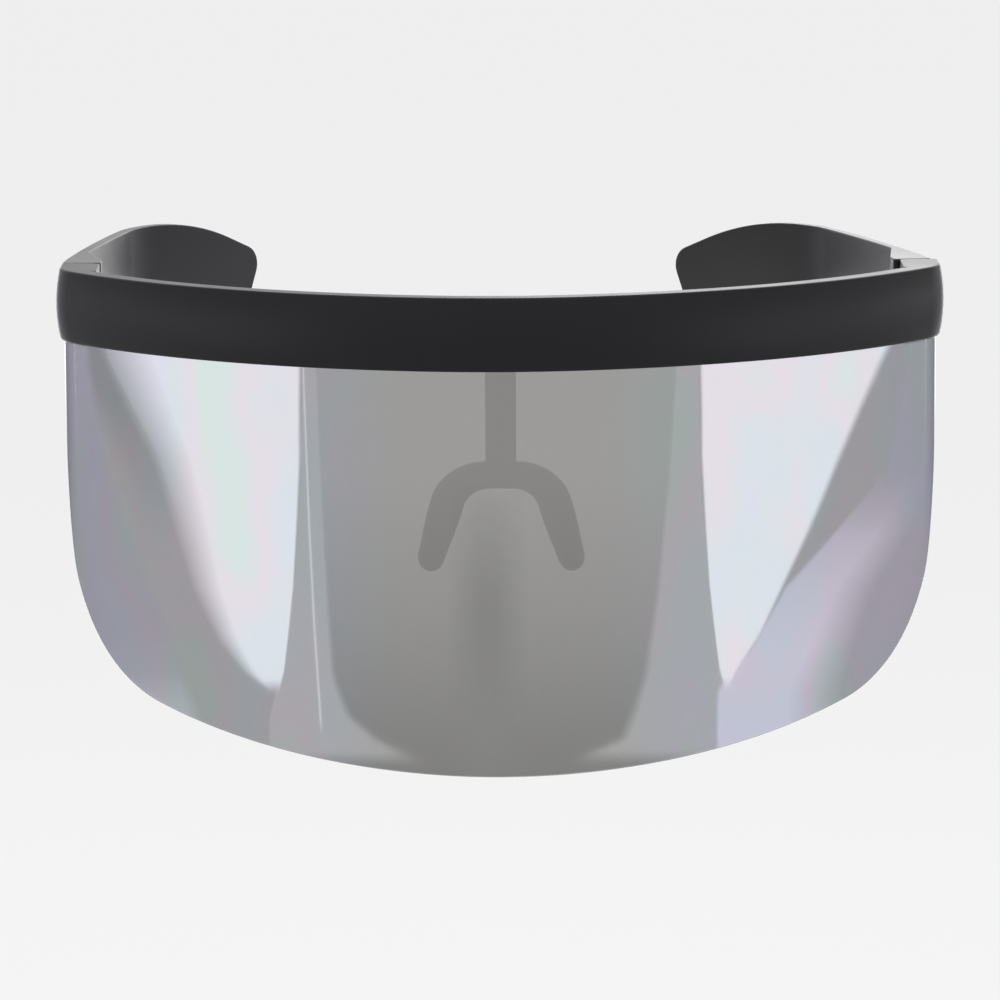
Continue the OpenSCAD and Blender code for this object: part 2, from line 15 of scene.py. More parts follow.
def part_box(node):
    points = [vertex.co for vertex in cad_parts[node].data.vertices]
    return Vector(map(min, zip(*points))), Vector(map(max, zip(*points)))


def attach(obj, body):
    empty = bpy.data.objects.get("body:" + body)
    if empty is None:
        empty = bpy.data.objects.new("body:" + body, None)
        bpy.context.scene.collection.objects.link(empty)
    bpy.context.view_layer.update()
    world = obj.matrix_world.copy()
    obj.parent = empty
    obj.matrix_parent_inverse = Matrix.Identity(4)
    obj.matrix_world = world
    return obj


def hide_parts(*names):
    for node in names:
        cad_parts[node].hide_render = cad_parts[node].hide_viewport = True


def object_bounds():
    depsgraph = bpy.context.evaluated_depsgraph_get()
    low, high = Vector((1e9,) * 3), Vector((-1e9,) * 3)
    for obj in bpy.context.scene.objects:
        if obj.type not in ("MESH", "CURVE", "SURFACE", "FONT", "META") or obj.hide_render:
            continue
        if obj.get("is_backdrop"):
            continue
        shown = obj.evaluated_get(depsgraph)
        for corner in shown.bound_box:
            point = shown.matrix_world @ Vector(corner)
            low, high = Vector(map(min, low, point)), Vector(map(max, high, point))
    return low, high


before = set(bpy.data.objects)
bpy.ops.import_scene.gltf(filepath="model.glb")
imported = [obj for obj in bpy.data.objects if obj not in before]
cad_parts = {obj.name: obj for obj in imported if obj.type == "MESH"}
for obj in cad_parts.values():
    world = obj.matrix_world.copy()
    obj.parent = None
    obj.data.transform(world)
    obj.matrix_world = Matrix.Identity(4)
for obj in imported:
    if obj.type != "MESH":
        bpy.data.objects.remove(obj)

log = logging.getLogger("sunglasses")
Array = np.ndarray
MM = 0.001
# Where the bar's front face and its top lie in the frame, and the pins that the temples turn on
BAR_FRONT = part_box("brow_bar")[0].y
BAR_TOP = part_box("brow_bar")[1].z
PIN_LOW, PIN_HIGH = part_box("hinge_screw_left")
PIN_X = (PIN_LOW.x + PIN_HIGH.x) / 2
PIN_Y = (PIN_LOW.y + PIN_HIGH.y) / 2
# Two points closer than this are one
MERGE = 1e-6
# A rod whose axis has an upright share over this gets its sides worked out from the x axis
STEEP = 0.9
# How much weaker each finer layer of a noise is
NOISE_ROUGHNESS = 0.55


class Side(Enum):
    """The wearer's sides: left is at +X."""

    LEFT = 1
    RIGHT = -1


class Cut(Enum):
    """What one solid does to another."""

    JOIN = "UNION"
    REMOVE = "DIFFERENCE"


@dataclass
class Solid:
    """A closed mesh as plain arrays.

    Args:
        points: one row of x, y and z for each vertex.
        corners: the vertices of every face, one face after another.
        counts: how many corners each face has.
    """

    points: Array
    corners: Array
    counts: Array

    @property
    def starts(self) -> Array:
        """Where each face's corners start."""
        return np.cumsum(self.counts) - self.counts

    def flipped(self) -> "Solid":
        """The same solid with every face turned over."""
        within = np.arange(len(self.corners)) - np.repeat(self.starts, self.counts)
        last = np.repeat(self.starts + self.counts - 1, self.counts)
        return Solid(self.points, self.corners[last - within], self.counts)

    def outward(self) -> "Solid":
        """The solid with its faces outwards: the sum of p0 . (p1 x p2) over its triangles is positive."""
        index = np.arange(len(self.corners))
        ends = np.repeat(self.starts + self.counts, self.counts)
        after = np.where(index + 1 == ends, np.repeat(self.starts, self.counts), index + 1)
        first = np.repeat(self.corners[self.starts], self.counts)
        triangle = self.points[first], self.points[self.corners], self.points[self.corners[after]]
        volume = np.einsum("ij,ij->", triangle[0], np.cross(triangle[1], triangle[2]))
        return self if volume > 0 else self.flipped()

    def moved(self, matrix: Matrix) -> "Solid":
        """The solid carried by a 4 x 4 matrix that neither mirrors nor scales."""
        turn = np.array(matrix.to_3x3())
        return Solid(self.points @ turn.T + np.array(matrix.translation), self.corners, self.counts)

    def mirrored(self) -> "Solid":
        """The solid's image on the other side of x = 0."""
        return Solid(self.points * (-1, 1, 1), self.corners, self.counts).flipped()

    def on(self, side: Side) -> "Solid":
        """The solid, drawn for the left, on one of the two sides."""
        return self if side is Side.LEFT else self.mirrored()

    def joined(self, *others: "Solid") -> "Solid":
        """This solid and others as one list of faces."""
        parts = (self, *others)
        offsets = np.cumsum([0] + [len(part.points) for part in parts[:-1]])
        return Solid(np.concatenate([part.points for part in parts]),
                     np.concatenate([part.corners + offset for part, offset in zip(parts, offsets)]),
                     np.concatenate([part.counts for part in parts]))

    def twinned(self) -> "Solid":
        """The solid together with its mirror image."""
        return self.joined(self.mirrored())

    def mesh(self, name: str) -> bpy.types.Mesh:
        """Writes the arrays into a new Blender mesh."""
        mesh = bpy.data.meshes.new(name)
        mesh.vertices.add(len(self.points))
        mesh.vertices.foreach_set("co", self.points.astype(np.float32).ravel())
        mesh.loops.add(len(self.corners))
        mesh.loops.foreach_set("vertex_index", self.corners.astype(np.int32))
        mesh.polygons.add(len(self.counts))
        mesh.polygons.foreach_set("loop_start", self.starts.astype(np.int32))
        mesh.update(calc_edges=True)
        return mesh

    @staticmethod
    def read(mesh: bpy.types.Mesh) -> "Solid":
        """Reads a Blender mesh back into arrays."""
        points = np.empty(3 * len(mesh.vertices), np.float32)
        mesh.vertices.foreach_get("co", points)
        corners = np.empty(len(mesh.loops), np.int32)
        mesh.loops.foreach_get("vertex_index", corners)
        counts = np.empty(len(mesh.polygons), np.int32)
        mesh.polygons.foreach_get("loop_total", counts)
        return Solid(points.reshape(-1, 3).astype(float), corners, counts)


def quads(rows: int, around: int, closed: bool) -> Array:
    """Corners of the faces of a grid, row by row.

    Args:
        rows: number of rows of points.
        around: number of points in a row.
        closed: whether each row runs round to its first point.

    Returns:
        An array with four vertex numbers for each face.
    """
    i = np.arange(rows - 1)[:, None] * around
    j = np.arange(around if closed else around - 1)[None, :]
    k = (j + 1) % around
    return np.stack([i + j, i + k, i + k + around, i + j + around], axis=-1).reshape(-1, 4)


def tube(rings: Array) -> Solid:
    """Solid through closed rings of points: a grid closed one way, with a face over each end.

    Args:
        rings: an array of rings by points by x, y and z.
    """
    rows, around, _ = rings.shape
    sides = quads(rows, around, closed=True)
    ring = np.arange(around)
    corners = np.concatenate([sides.ravel(), ring[::-1], ring + (rows - 1) * around])
    counts = np.concatenate([np.full(len(sides), 4), [around, around]])
    return Solid(rings.reshape(-1, 3), corners, counts).outward()


def heading(turn: Any) -> Array:
    """Level direction (cos turn, sin turn) of one turn or of many, in radians."""
    return np.stack([np.cos(turn), np.sin(turn)], axis=-1)


def arc(centre: tuple[float, float], radius: float, start: float, end: float, steps: int) -> Array:
    """Points centre + radius (cos a, sin a) for angles a in degrees from start to end."""
    angle = np.radians(np.linspace(start, end, steps + 1))
    return np.array(centre) + radius * heading(angle)


def inset(outline: Array, amount: float) -> Array:
    """Draws a closed outline in by an amount.

    Each point moves along b = n1 + n2, the sum of the inward normals of its two edges, by
    amount b / (b . n1), so that both edges move in by the same amount.
    """
    if not amount:
        return outline
    ahead = np.roll(outline, -1, axis=0) - outline
    normal = np.stack([-ahead[:, 1], ahead[:, 0]], axis=-1)
    normal /= np.linalg.norm(normal, axis=1, keepdims=True)
    area = np.sum(outline[:, 0] * ahead[:, 1] - outline[:, 1] * ahead[:, 0])
    behind = np.roll(normal, 1, axis=0)
    both = normal + behind
    reach = amount * np.sign(area) / np.einsum("ij,ij->i", both, normal)
    return outline + both * reach[:, None]


def rounding(edge: float, steps: int) -> tuple[Array, Array]:
    """How a rounded edge draws in, edge (1 - sin a), and rises, edge (1 - cos a), with a from 0 to 90."""
    angle = np.linspace(0, math.pi / 2, steps + 1)
    return edge * (1 - np.sin(angle)), edge * (1 - np.cos(angle))


def slab(outline: Array, low: float, high: float, edge: float = 0.0, steps: int = 4) -> Solid:
    """Upright prism over an outline in plan, its lower and upper edges rounded.

    Args:
        outline: closed outline in x and y.
        low, high: heights of its two ends.
        edge: radius of the rounding, or zero for sharp edges.
        steps: steps of the rounding.
    """
    drawn, risen = rounding(edge, steps if edge else 0)
    heights = np.concatenate([low + risen, high - risen[::-1]])
    return tube(np.stack([np.column_stack([inset(outline, amount), np.full(len(outline), height)])
                          for amount, height in zip([*drawn, *drawn[::-1]], heights)]))


def rod(start: Array, end: Array, radius: float, sides: int = 32) -> Solid:
    """Round rod between two points: rings at point + radius (u cos a + v sin a), with u and v across it."""
    axis = (end - start) / np.linalg.norm(end - start)
    across = np.cross(axis, (0, 0, 1) if abs(axis[2]) < STEEP else (1, 0, 0))
    across /= np.linalg.norm(across)
    angle = np.linspace(0, 2 * math.pi, sides, endpoint=False)[:, None]
    ring = radius * (across * np.cos(angle) + np.cross(axis, across) * np.sin(angle))
    return tube(np.stack([start + ring, end + ring]))


def pin_rod(low: float, high: float, radius: float, sides: int = 48) -> Solid:
    """Upright rod round the axis of the left hinge's pin, between two heights."""
    return rod(np.array([PIN_X, PIN_Y, low]), np.array([PIN_X, PIN_Y, high]), radius, sides)


def box(low: tuple[float, float, float], high: tuple[float, float, float]) -> Solid:
    """Plain box between two corners, used only as a cutting tool."""
    outline = np.array([(low[0], low[1]), (high[0], low[1]), (high[0], high[1]), (low[0], high[1])])
    return slab(outline, low[2], high[2])


def put(name: str, data: Any) -> bpy.types.Object:
    """Adds an object made of a mesh, a lamp or a camera to the scene."""
    made = bpy.data.objects.new(name, data)
    bpy.context.scene.collection.objects.link(made)
    return made


def merge(mesh: bpy.types.Mesh, flat: float = 0.0, outwards: bool = False) -> None:
    """Joins the vertices of a mesh that lie together, and clears what that leaves behind.

    Args:
        mesh: what is worked on.
        flat: angle in degrees up to which neighbouring faces become one, or zero to keep them all.
        outwards: whether the faces are also turned outwards.
    """
    work = bmesh.new()
    work.from_mesh(mesh)
    bmesh.ops.remove_doubles(work, verts=work.verts, dist=MERGE)
    if flat:
        bmesh.ops.dissolve_limit(work, angle_limit=math.radians(flat), verts=work.verts, edges=work.edges)
    else:
        bmesh.ops.dissolve_degenerate(work, edges=work.edges, dist=MERGE)
    if outwards:
        bmesh.ops.recalc_face_normals(work, faces=work.faces)
    work.to_mesh(mesh)
    work.free()


def carve(solid: Solid, how: Cut, *tools: Solid) -> Solid:
    """Joins tools to a solid, or removes them from it, one after another.

    Args:
        solid: what is worked on.
        how: whether the tools are joined or removed.
        tools: closed solids, none of which cuts itself.
    """
    made = [put("work", part.mesh("work")) for part in (solid, *tools)]
    for tool in made[1:]:
        step = made[0].modifiers.new("carve", "BOOLEAN")
        step.operation, step.object, step.solver = how.value, tool, "EXACT"
    shaped = made[0].evaluated_get(bpy.context.evaluated_depsgraph_get())
    result = bpy.data.meshes.new_from_object(shaped)
    carved = Solid.read(result)
    for mesh in [result] + [item.data for item in made]:
        bpy.data.meshes.remove(mesh)
    return carved


class Signal:
    """A socket that gives a value. Arithmetic on it adds Math nodes."""

    def __init__(self, bench: "Bench", socket: bpy.types.NodeSocket) -> None:
        """Keeps the socket and the tree that it belongs to."""
        self.bench, self.socket = bench, socket

    def math(self, operation: str, first: Any, second: Any = 0.0, clamp: bool = False) -> "Signal":
        """Adds one Math node on two values or links."""
        return self.bench.signal("ShaderNodeMath", 0, {"operation": operation, "use_clamp": clamp},
                                 {0: first, 1: second})

    def __add__(self, other: Any) -> "Signal":
        """self + other."""
        return self.math("ADD", self, other)

    def __radd__(self, other: Any) -> "Signal":
        """other + self."""
        return self.math("ADD", other, self)

    def __sub__(self, other: Any) -> "Signal":
        """self - other."""
        return self.math("SUBTRACT", self, other)

    def __rsub__(self, other: Any) -> "Signal":
        """other - self."""
        return self.math("SUBTRACT", other, self)

    def __mul__(self, other: Any) -> "Signal":
        """self * other."""
        return self.math("MULTIPLY", self, other)

    def __rmul__(self, other: Any) -> "Signal":
        """other * self."""
        return self.math("MULTIPLY", other, self)

    def __abs__(self) -> "Signal":
        """The value without its sign."""
        return self.math("ABSOLUTE", self)

    def between(self, low: float, high: float) -> "Signal":
        """0 below low, 1 above high and straight between: (self - low) / (high - low), clamped."""
        return self.math("DIVIDE", self - low, high - low, clamp=True)

    def centred(self) -> "Signal":
        """The value less a half, which puts a noise from 0 to 1 round zero."""
        return self - 0.5

    def wave(self) -> "Signal":
        """The sine of the value."""
        return self.math("SINE", self)


class Bench:
    """The node tree of one material or of the world."""

    def __init__(self, owner: bpy.types.Material | bpy.types.World) -> None:
        """Clears the nodes of a new material or world."""
        owner.use_nodes = True
        self.owner, self.tree = owner, owner.node_tree
        self.tree.nodes.clear()

    def node(self, kind: str, settings: dict[str, Any] | None = None,
             sockets: dict[Any, Any] | None = None) -> bpy.types.Node:
        """Adds a node.

        Args:
            kind: the node's type.
            settings: its settings, which are set first. The setting stops fills a colour ramp.
            sockets: values or links for its sockets, by name or number.

        Returns:
            The new node.
        """
        made = self.tree.nodes.new(kind)
        for name, value in (settings or {}).items():
            if name == "stops":
                self._fill(made.color_ramp, value)
            else:
                setattr(made, name, value)
        for name, value in (sockets or {}).items():
            if isinstance(value, Signal):
                self.tree.links.new(value.socket, made.inputs[name])
            else:
                made.inputs[name].default_value = value
        return made

    @staticmethod
    def _fill(ramp: bpy.types.ColorRamp, stops: tuple[tuple[float, tuple[float, ...]], ...]) -> None:
        """Gives a colour ramp its stops, as places and linear colours."""
        for place, colour in stops[2:]:
            ramp.elements.new(place).color = (*colour, 1)
        for element, (place, colour) in zip(list(ramp.elements), sorted(stops)):
            element.position, element.color = place, (*colour, 1)

    def signal(self, kind: str, output: Any, settings: dict[str, Any] | None = None,
               sockets: dict[Any, Any] | None = None) -> Signal:
        """Adds a node and returns one of its outputs, by name or number."""
        return Signal(self, self.node(kind, settings, sockets).outputs[output])

    def place(self) -> Signal:
        """The place on the piece, in metres."""
        return self.signal("ShaderNodeTexCoord", "Object")

    def axes(self) -> tuple[Signal, Signal, Signal]:
        """The place on the piece as separate x, y and z."""
        parts = self.node("ShaderNodeSeparateXYZ", None, {0: self.place()})
        return tuple(Signal(self, part) for part in parts.outputs)

    def noise(self, size: float, detail: float, stretch: tuple[float, float, float] = (1, 1, 1)) -> Signal:
        """Cloudy noise from 0 to 1.

        Args:
            size: how far across one lump is, in metres.
            detail: how many finer layers it has.
            stretch: how much it is drawn out along each axis.
        """
        scale = tuple(1 / share for share in stretch)
        where = self.signal("ShaderNodeMapping", 0, None, {"Vector": self.place(), "Scale": scale})
        return self.signal("ShaderNodeTexNoise", 0, None, {
            "Vector": where, "Scale": 1 / size, "Detail": detail, "Roughness": NOISE_ROUGHNESS})

    def blend(self, share: Any, first: Any, second: Any) -> Signal:
        """Colour that goes from first to second as share goes from 0 to 1."""
        first, second = ((*colour, 1) if isinstance(colour, tuple) else colour for colour in (first, second))
        return self.signal("ShaderNodeMix", 2, {"data_type": "RGBA"}, {0: share, 6: first, 7: second})

    def ramp(self, value: Signal, stops: tuple[tuple[float, tuple[float, ...]], ...]) -> Signal:
        """Colour looked up on a ramp of places and linear colours."""
        return self.signal("ShaderNodeValToRGB", 0, {"stops": stops}, {0: value})

    def bump(self, height: Signal, depth: float) -> Signal:
        """Surface normal of a relief whose full height is depth metres."""
        return self.signal("ShaderNodeBump", 0, None, {"Height": height, "Distance": depth, "Strength": 1.0})

    def finish(self, shader: Signal) -> bpy.types.Material | bpy.types.World:
        """Ends the tree in the surface output and returns the material or the world."""
        kind = "World" if isinstance(self.owner, bpy.types.World) else "Material"
        self.node("ShaderNodeOutput" + kind, None, {"Surface": shader})
        return self.owner


@dataclass(frozen=True)
class Finish:
    """A surface finish. Each kind says in sockets() what it feeds to the Principled shader."""

    name: str

    def sockets(self, bench: Bench) -> dict[str, Any]:
        """Values and links of the Principled shader's sockets."""
        raise NotImplementedError

    @cached_property
    def material(self) -> bpy.types.Material:
        """The Blender material, made once."""
        bench = Bench(bpy.data.materials.new(self.name))
        return bench.finish(bench.signal("ShaderNodeBsdfPrincipled", 0, None, self.sockets(bench)))


@dataclass(frozen=True)
class MouldedPlastic(Finish):
    """Injection-moulded plastic with a fine spark-eroded grain and a faint polish where hands rub it.

    Args:
        colour: linear colour of the plastic.
        roughness: how matt it is on the whole.
        specular: strength of its gloss, where 0.5 is that of common plastic.
        grain, relief: size and depth of one grain in metres.
        drift: size of the patches over which colour and gloss change, in metres.
        rub: size of the places that hands polish, in metres.
        paler: how many times paler the palest patches are.
        speckle: share of the grain in the change of colour, where the rest is the drift's.
        polished: levels of the rubbing between which the polish sets in.
        uneven: how much the drift, the grain and the polish change the roughness.
    """

    colour: tuple[float, float, float] = (0.008, 0.008, 0.0095)
    roughness: float = 0.40
    specular: float = 0.17
    grain: float = 0.22 * MM
    relief: float = 0.012 * MM
    drift: float = 18 * MM
    rub: float = 45 * MM
    paler: float = 1.55
    speckle: float = 0.4
    polished: tuple[float, float] = (0.5, 0.72)
    uneven: tuple[float, float, float] = (0.10, 0.08, 0.07)

    def sockets(self, bench: Bench) -> dict[str, Any]:
        """Grain in the bump and the roughness, and a slow drift of both colour and gloss."""
        grain = bench.noise(self.grain, detail=3)
        drift = bench.noise(self.drift, detail=3)
        polish = bench.noise(self.rub, detail=1).between(*self.polished)
        by_drift, by_grain, by_polish = self.uneven
        patches = (1 - self.speckle) * drift + self.speckle * grain
        paler = tuple(self.paler * part for part in self.colour)
        return {
            "Base Color": bench.blend(patches, self.colour, paler),
            "Roughness": (self.roughness + by_drift * drift.centred() + by_grain * grain.centred()
                          - by_polish * polish),
            "Specular IOR Level": self.specular,
            "Normal": bench.bump(grain, self.relief),
        }


@dataclass(frozen=True)
class MirrorCoating(Finish):
    """Thin flash mirror on the front of the lens, whose film changes colour a little over the lens.

    Args:
        reach: distance from the middle at which the colours of the film are all in, in metres.
        grey_share: share of the reach in which the middle stays grey.
        lump: size of one patch of colour in metres.
        ripple, slant: height of the ripples in the film's colours, and how far they slant.
        smear: size of a smear in metres.
        smeared: levels of the smears between which they set in.
        roughness, dulling: how matt the clean mirror is, and what a smear adds to that.
        cover: share of what lies behind that it hides.
        middle: linear colour in the middle.
        grazing: linear colour of what it mirrors at a grazing angle.
        tints: places and linear colours of the film's ramp, the two outermost first.
    """

    reach: float = 34 * MM
    grey_share: float = 0.55
    lump: float = 26 * MM
    ripple: float = 0.10
    slant: float = 0.5
    smear: float = 9 * MM
    smeared: tuple[float, float] = (0.55, 0.8)
    roughness: float = 0.025
    dulling: float = 0.03
    cover: float = 0.8
    middle: tuple[float, float, float] = (0.328, 0.324, 0.314)
    grazing: tuple[float, float, float] = (0.42, 0.42, 0.44)
    tints: tuple[tuple[float, tuple[float, float, float]], ...] = (
        (0.30, (0.300, 0.345, 0.330)), (0.74, (0.300, 0.345, 0.335)), (0.42, (0.325, 0.320, 0.375)),
        (0.52, (0.305, 0.335, 0.360)), (0.63, (0.345, 0.318, 0.350)))

    def sockets(self, bench: Bench) -> dict[str, Any]:
        """Metal seen through a film: grey in the middle, and mint, lavender and blue patches beside it."""
        x, _, z = bench.axes()
        patches = bench.noise(self.lump, detail=1.5, stretch=(0.8, 0.8, 1.7))
        film = patches + self.ripple * (abs(x) * (1 / self.lump) + self.slant * z * (1 / self.lump)).wave()
        coloured = abs(x).between(self.grey_share * self.reach, self.reach)
        smear = bench.noise(self.smear, detail=4, stretch=(1, 1, 2.5)).between(*self.smeared)
        return {
            "Base Color": bench.blend(coloured, self.middle, bench.ramp(film, self.tints)),
            "Metallic": 1.0,
            "Roughness": self.roughness + self.dulling * smear,
            "Specular Tint": (*self.grazing, 1.0),
            "Alpha": self.cover,
        }


@dataclass(frozen=True)
class SmokedPolycarbonate(Finish):
    """Dark see-through plastic of the lens behind its mirror, and at its rim.

    Args:
        dark, pale: linear colours between which it changes.
        wipe: size of a wipe mark in metres.
        roughness, dulling: how matt it is where it is clean, and what the wipe marks add to that.
        specular: strength of its gloss.
        cover: share of what lies behind that it hides.
    """

    dark: tuple[float, float, float] = (0.020, 0.021, 0.023)
    pale: tuple[float, float, float] = (0.030, 0.031, 0.034)
    wipe: float = 7 * MM
    roughness: float = 0.05
    dulling: float = 0.06
    specular: float = 0.5
    cover: float = 0.5

    def sockets(self, bench: Bench) -> dict[str, Any]:
        """Polished, with a faint haze of fine wipe marks."""
        haze = bench.noise(self.wipe, detail=4, stretch=(3, 3, 1))
        return {
            "Base Color": bench.blend(haze, self.dark, self.pale),
            "Roughness": self.roughness + self.dulling * haze,
            "Specular IOR Level": self.specular,
            "Alpha": self.cover,
        }


@dataclass(frozen=True)
class SoftRubber(Finish):
    """Matt elastomer with a dusty bloom.

    Args:
        colour, dusty: linear colours of the bare rubber and of its bloom.
        pore, relief: size and depth of a pore in metres.
        patch: size of a patch of bloom in metres.
        bloomed: levels of the bloom between which it sets in.
        roughness, uneven: how matt it is on the whole, and how much its pores change that.
        specular: strength of its gloss.
        sheen: strength and roughness of its sheen.
    """

    colour: tuple[float, float, float] = (0.020, 0.020, 0.021)
    dusty: tuple[float, float, float] = (0.036, 0.036, 0.038)
    pore: float = 0.35 * MM
    relief: float = 0.03 * MM
    patch: float = 6 * MM
    bloomed: tuple[float, float] = (0.42, 0.75)
    roughness: float = 0.72
    uneven: float = 0.12
    specular: float = 0.3
    sheen: tuple[float, float] = (0.15, 0.5)

    def sockets(self, bench: Bench) -> dict[str, Any]:
        """Fine pores, a pale bloom in patches and hardly any gloss."""
        pores = bench.noise(self.pore, detail=4)
        bloom = bench.noise(self.patch, detail=4).between(*self.bloomed)
        return {
            "Base Color": bench.blend(bloom, self.colour, self.dusty),
            "Roughness": self.roughness + self.uneven * pores.centred(),
            "Specular IOR Level": self.specular,
            "Sheen Weight": self.sheen[0],
            "Sheen Roughness": self.sheen[1],
            "Normal": bench.bump(pores, self.relief),
        }


@dataclass(frozen=True)
class TurnedMetal(Finish):
    """Metal of a small turned part, with tool marks round its axis and a slight tarnish.

    Args:
        colour: linear colour of the clean metal.
        roughness: how matt it is on the whole.
        mark, relief: size and depth of a tool mark in metres.
        patch: size of a tarnished patch in metres.
        darker: share of its colour that the tarnish leaves.
        tarnished: levels of the tarnish between which it darkens.
        uneven: how much the tarnish and the marks change the roughness.
    """

    colour: tuple[float, float, float] = (0.16, 0.16, 0.17)
    roughness: float = 0.32
    mark: float = 0.12 * MM
    relief: float = 0.004 * MM
    patch: float = 1.6 * MM
    darker: float = 0.62
    tarnished: tuple[float, float] = (0.35, 0.75)
    uneven: tuple[float, float] = (0.18, 0.10)

    def sockets(self, bench: Bench) -> dict[str, Any]:
        """Close marks in the roughness and the bump, darker where the metal has tarnished."""
        marks = bench.noise(self.mark, detail=2, stretch=(4, 4, 1))
        tarnish = bench.noise(self.patch, detail=3)
        by_tarnish, by_marks = self.uneven
        darker = tuple(self.darker * part for part in self.colour)
        return {
            "Base Color": bench.blend(tarnish.between(*self.tarnished), self.colour, darker),
            "Metallic": 1.0,
            "Roughness": self.roughness + by_tarnish * tarnish.centred() + by_marks * marks.centred(),
            "Normal": bench.bump(marks, self.relief),
        }


@dataclass(frozen=True)
class Finishes:
    """Every finish of the sunglasses."""

    bar: Finish = MouldedPlastic("black_moulded_bar")
    temple: Finish = MouldedPlastic("black_moulded_temple", (0.012, 0.012, 0.013), 0.38, 0.3)
    inner: Finish = MouldedPlastic("black_inner_plastic", (0.018, 0.018, 0.019), 0.5)
    mirror: Finish = MirrorCoating("flash_mirror")
    smoke: Finish = SmokedPolycarbonate("smoked_polycarbonate")
    rubber: Finish = SoftRubber("soft_black_rubber")
    screw: Finish = TurnedMetal("blackened_screw")
    pin: Finish = TurnedMetal("hinge_screw_steel", (0.30, 0.30, 0.31), 0.28)
    brass: Finish = TurnedMetal("turned_brass", (0.62, 0.42, 0.16), 0.30)


def add_piece(node: str, solid: Solid, body: str, slot: str, *finishes: Finish,
              crease: float = 32.0) -> bpy.types.Object:
    """Makes a finished piece that rides on a body and stands for a CAD node.

    Args:
        node: the CAD node that it stands for.
        solid: its closed mesh.
        body: the CAD body that carries it.
        slot: not used.
        finishes: its finishes, in the order of its material slots.
        crease: angle in degrees above which an edge stays sharp.

    Returns:
        The new object.
    """
    name = node + "_piece"
    mesh = solid.mesh(name)
    for finish in finishes:
        mesh.materials.append(finish.material)
    merge(mesh)
    mesh.polygons.foreach_set("use_smooth", np.ones(len(mesh.polygons), bool))
    mesh.set_sharp_from_angle(angle=math.radians(crease))
    piece = put(name, mesh)
    weighted = piece.modifiers.new("even_shading", "WEIGHTED_NORMAL")
    weighted.keep_sharp = True
    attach(piece, body)
    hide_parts(node)
    log.info("%s: %d faces on %s", name, len(mesh.polygons), body)
    return piece


def add_refined(node: str, slot: str, finish: Finish, edge: float,
                flat: float = 0.5, sharp: float = 40.0, steps: int = 2) -> None:
    """Makes a piece on the front from a merged copy of a CAD node, with its edges broken.

    Args:
        node: the CAD node.
        slot: not used.
        finish: its finish.
        edge: width of the small bevel along its edges in metres.
        flat: angle in degrees up to which its triangles become one face again.
        sharp: angle in degrees above which an edge is broken.
        steps: faces across a broken edge.
    """
    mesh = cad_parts[node].data.copy()
    merge(mesh, flat)
    piece = add_piece(node, Solid.read(mesh), "front", slot, finish)
    bpy.data.meshes.remove(mesh)
    bevel = piece.modifiers.new("broken_edges", "BEVEL")
    bevel.width, bevel.segments, bevel.limit_method = edge, steps, "ANGLE"
    bevel.angle_limit, bevel.harden_normals = math.radians(sharp), False
    piece.modifiers.move(1, 0)


@dataclass(frozen=True)
class BarPlan:
    """Plan of the bar's front face on each side: a middle arc, a side arc, a corner arc and a straight end.

    Args:
        centre_r: radius of the middle arc.
        centre_half_angle: half of the angle that it covers, in degrees.
        side_r: radius of the side arc.
        side_angle: angle that it covers, in degrees.
        corner_r: radius of the corner arc, which turns on to 90 degrees.
        end_run: length of the straight end.
    """

    centre_r: float = 80 * MM
    centre_half_angle: float = 11.5
    side_r: float = 113 * MM
    side_angle: float = 41.4
    corner_r: float = 13 * MM
    end_run: float = 6.5 * MM

    @cached_property
    def turns(self) -> Array:
        """Turn from straight ahead at the end of each arc, in radians."""
        return np.radians([self.centre_half_angle, self.centre_half_angle + self.side_angle, 90])

    @cached_property
    def radii(self) -> Array:
        """Radius of each arc."""
        return np.array([self.centre_r, self.side_r, self.corner_r])

    @cached_property
    def runs(self) -> Array:
        """Distance along the front face from the middle to the end of each arc."""
        return np.cumsum(self.radii * np.diff(self.turns, prepend=0))

    @cached_property
    def centres(self) -> Array:
        """Centre of each arc: at each join the next centre lies on the same inward line."""
        centres = [np.array([0, BAR_FRONT + self.centre_r])]
        for turn, radius, following in zip(self.turns, self.radii, self.radii[1:]):
            centres.append(centres[-1] - (radius - following) * np.array([-math.sin(turn), math.cos(turn)]))
        return np.array(centres)

    @cached_property
    def end_x(self) -> float:
        """Half of the bar's width."""
        return self.centres[2][0] + self.corner_r

    @cached_property
    def joint_y(self) -> float:
        """Where the bar ends and the temples start."""
        return self.centres[2][1] + self.end_run

    @cached_property
    def end(self) -> float:
        """Distance along the front face from the middle to the bar's end."""
        return self.runs[2] + self.end_run

    def place(self, run: Any, depth: Any, height: Any) -> Array:
        """Points at a distance along the bar, a depth behind its front and a height from its top.

        Each is centre + (radius - depth) (sin turn, -cos turn), mirrored for a negative distance. The turn is
        that of the arcs so far plus the distance on this arc over its radius.
        """
        run, depth, height = np.broadcast_arrays(run, depth, height)
        far = np.abs(run)
        which = np.searchsorted(self.runs[:2], far)
        before, turned = (np.concatenate([[0], ends[:2]])[which] for ends in (self.runs, self.turns))
        turn = np.minimum(turned + (far - before) / self.radii[which], math.pi / 2)
        reach = self.radii[which] - depth
        x = self.centres[which, 0] + reach * np.sin(turn)
        y = self.centres[which, 1] - reach * np.cos(turn) + np.maximum(0, far - self.runs[2])
        return np.stack([np.where(run < 0, -x, x), y, BAR_TOP + height], axis=-1)

    def spread(self, start: float, end: float, step: float) -> Array:
        """Distances from start to end, close enough that none is more than a step from the next."""
        return np.linspace(start, end, 1 + math.ceil((end - start) / step))


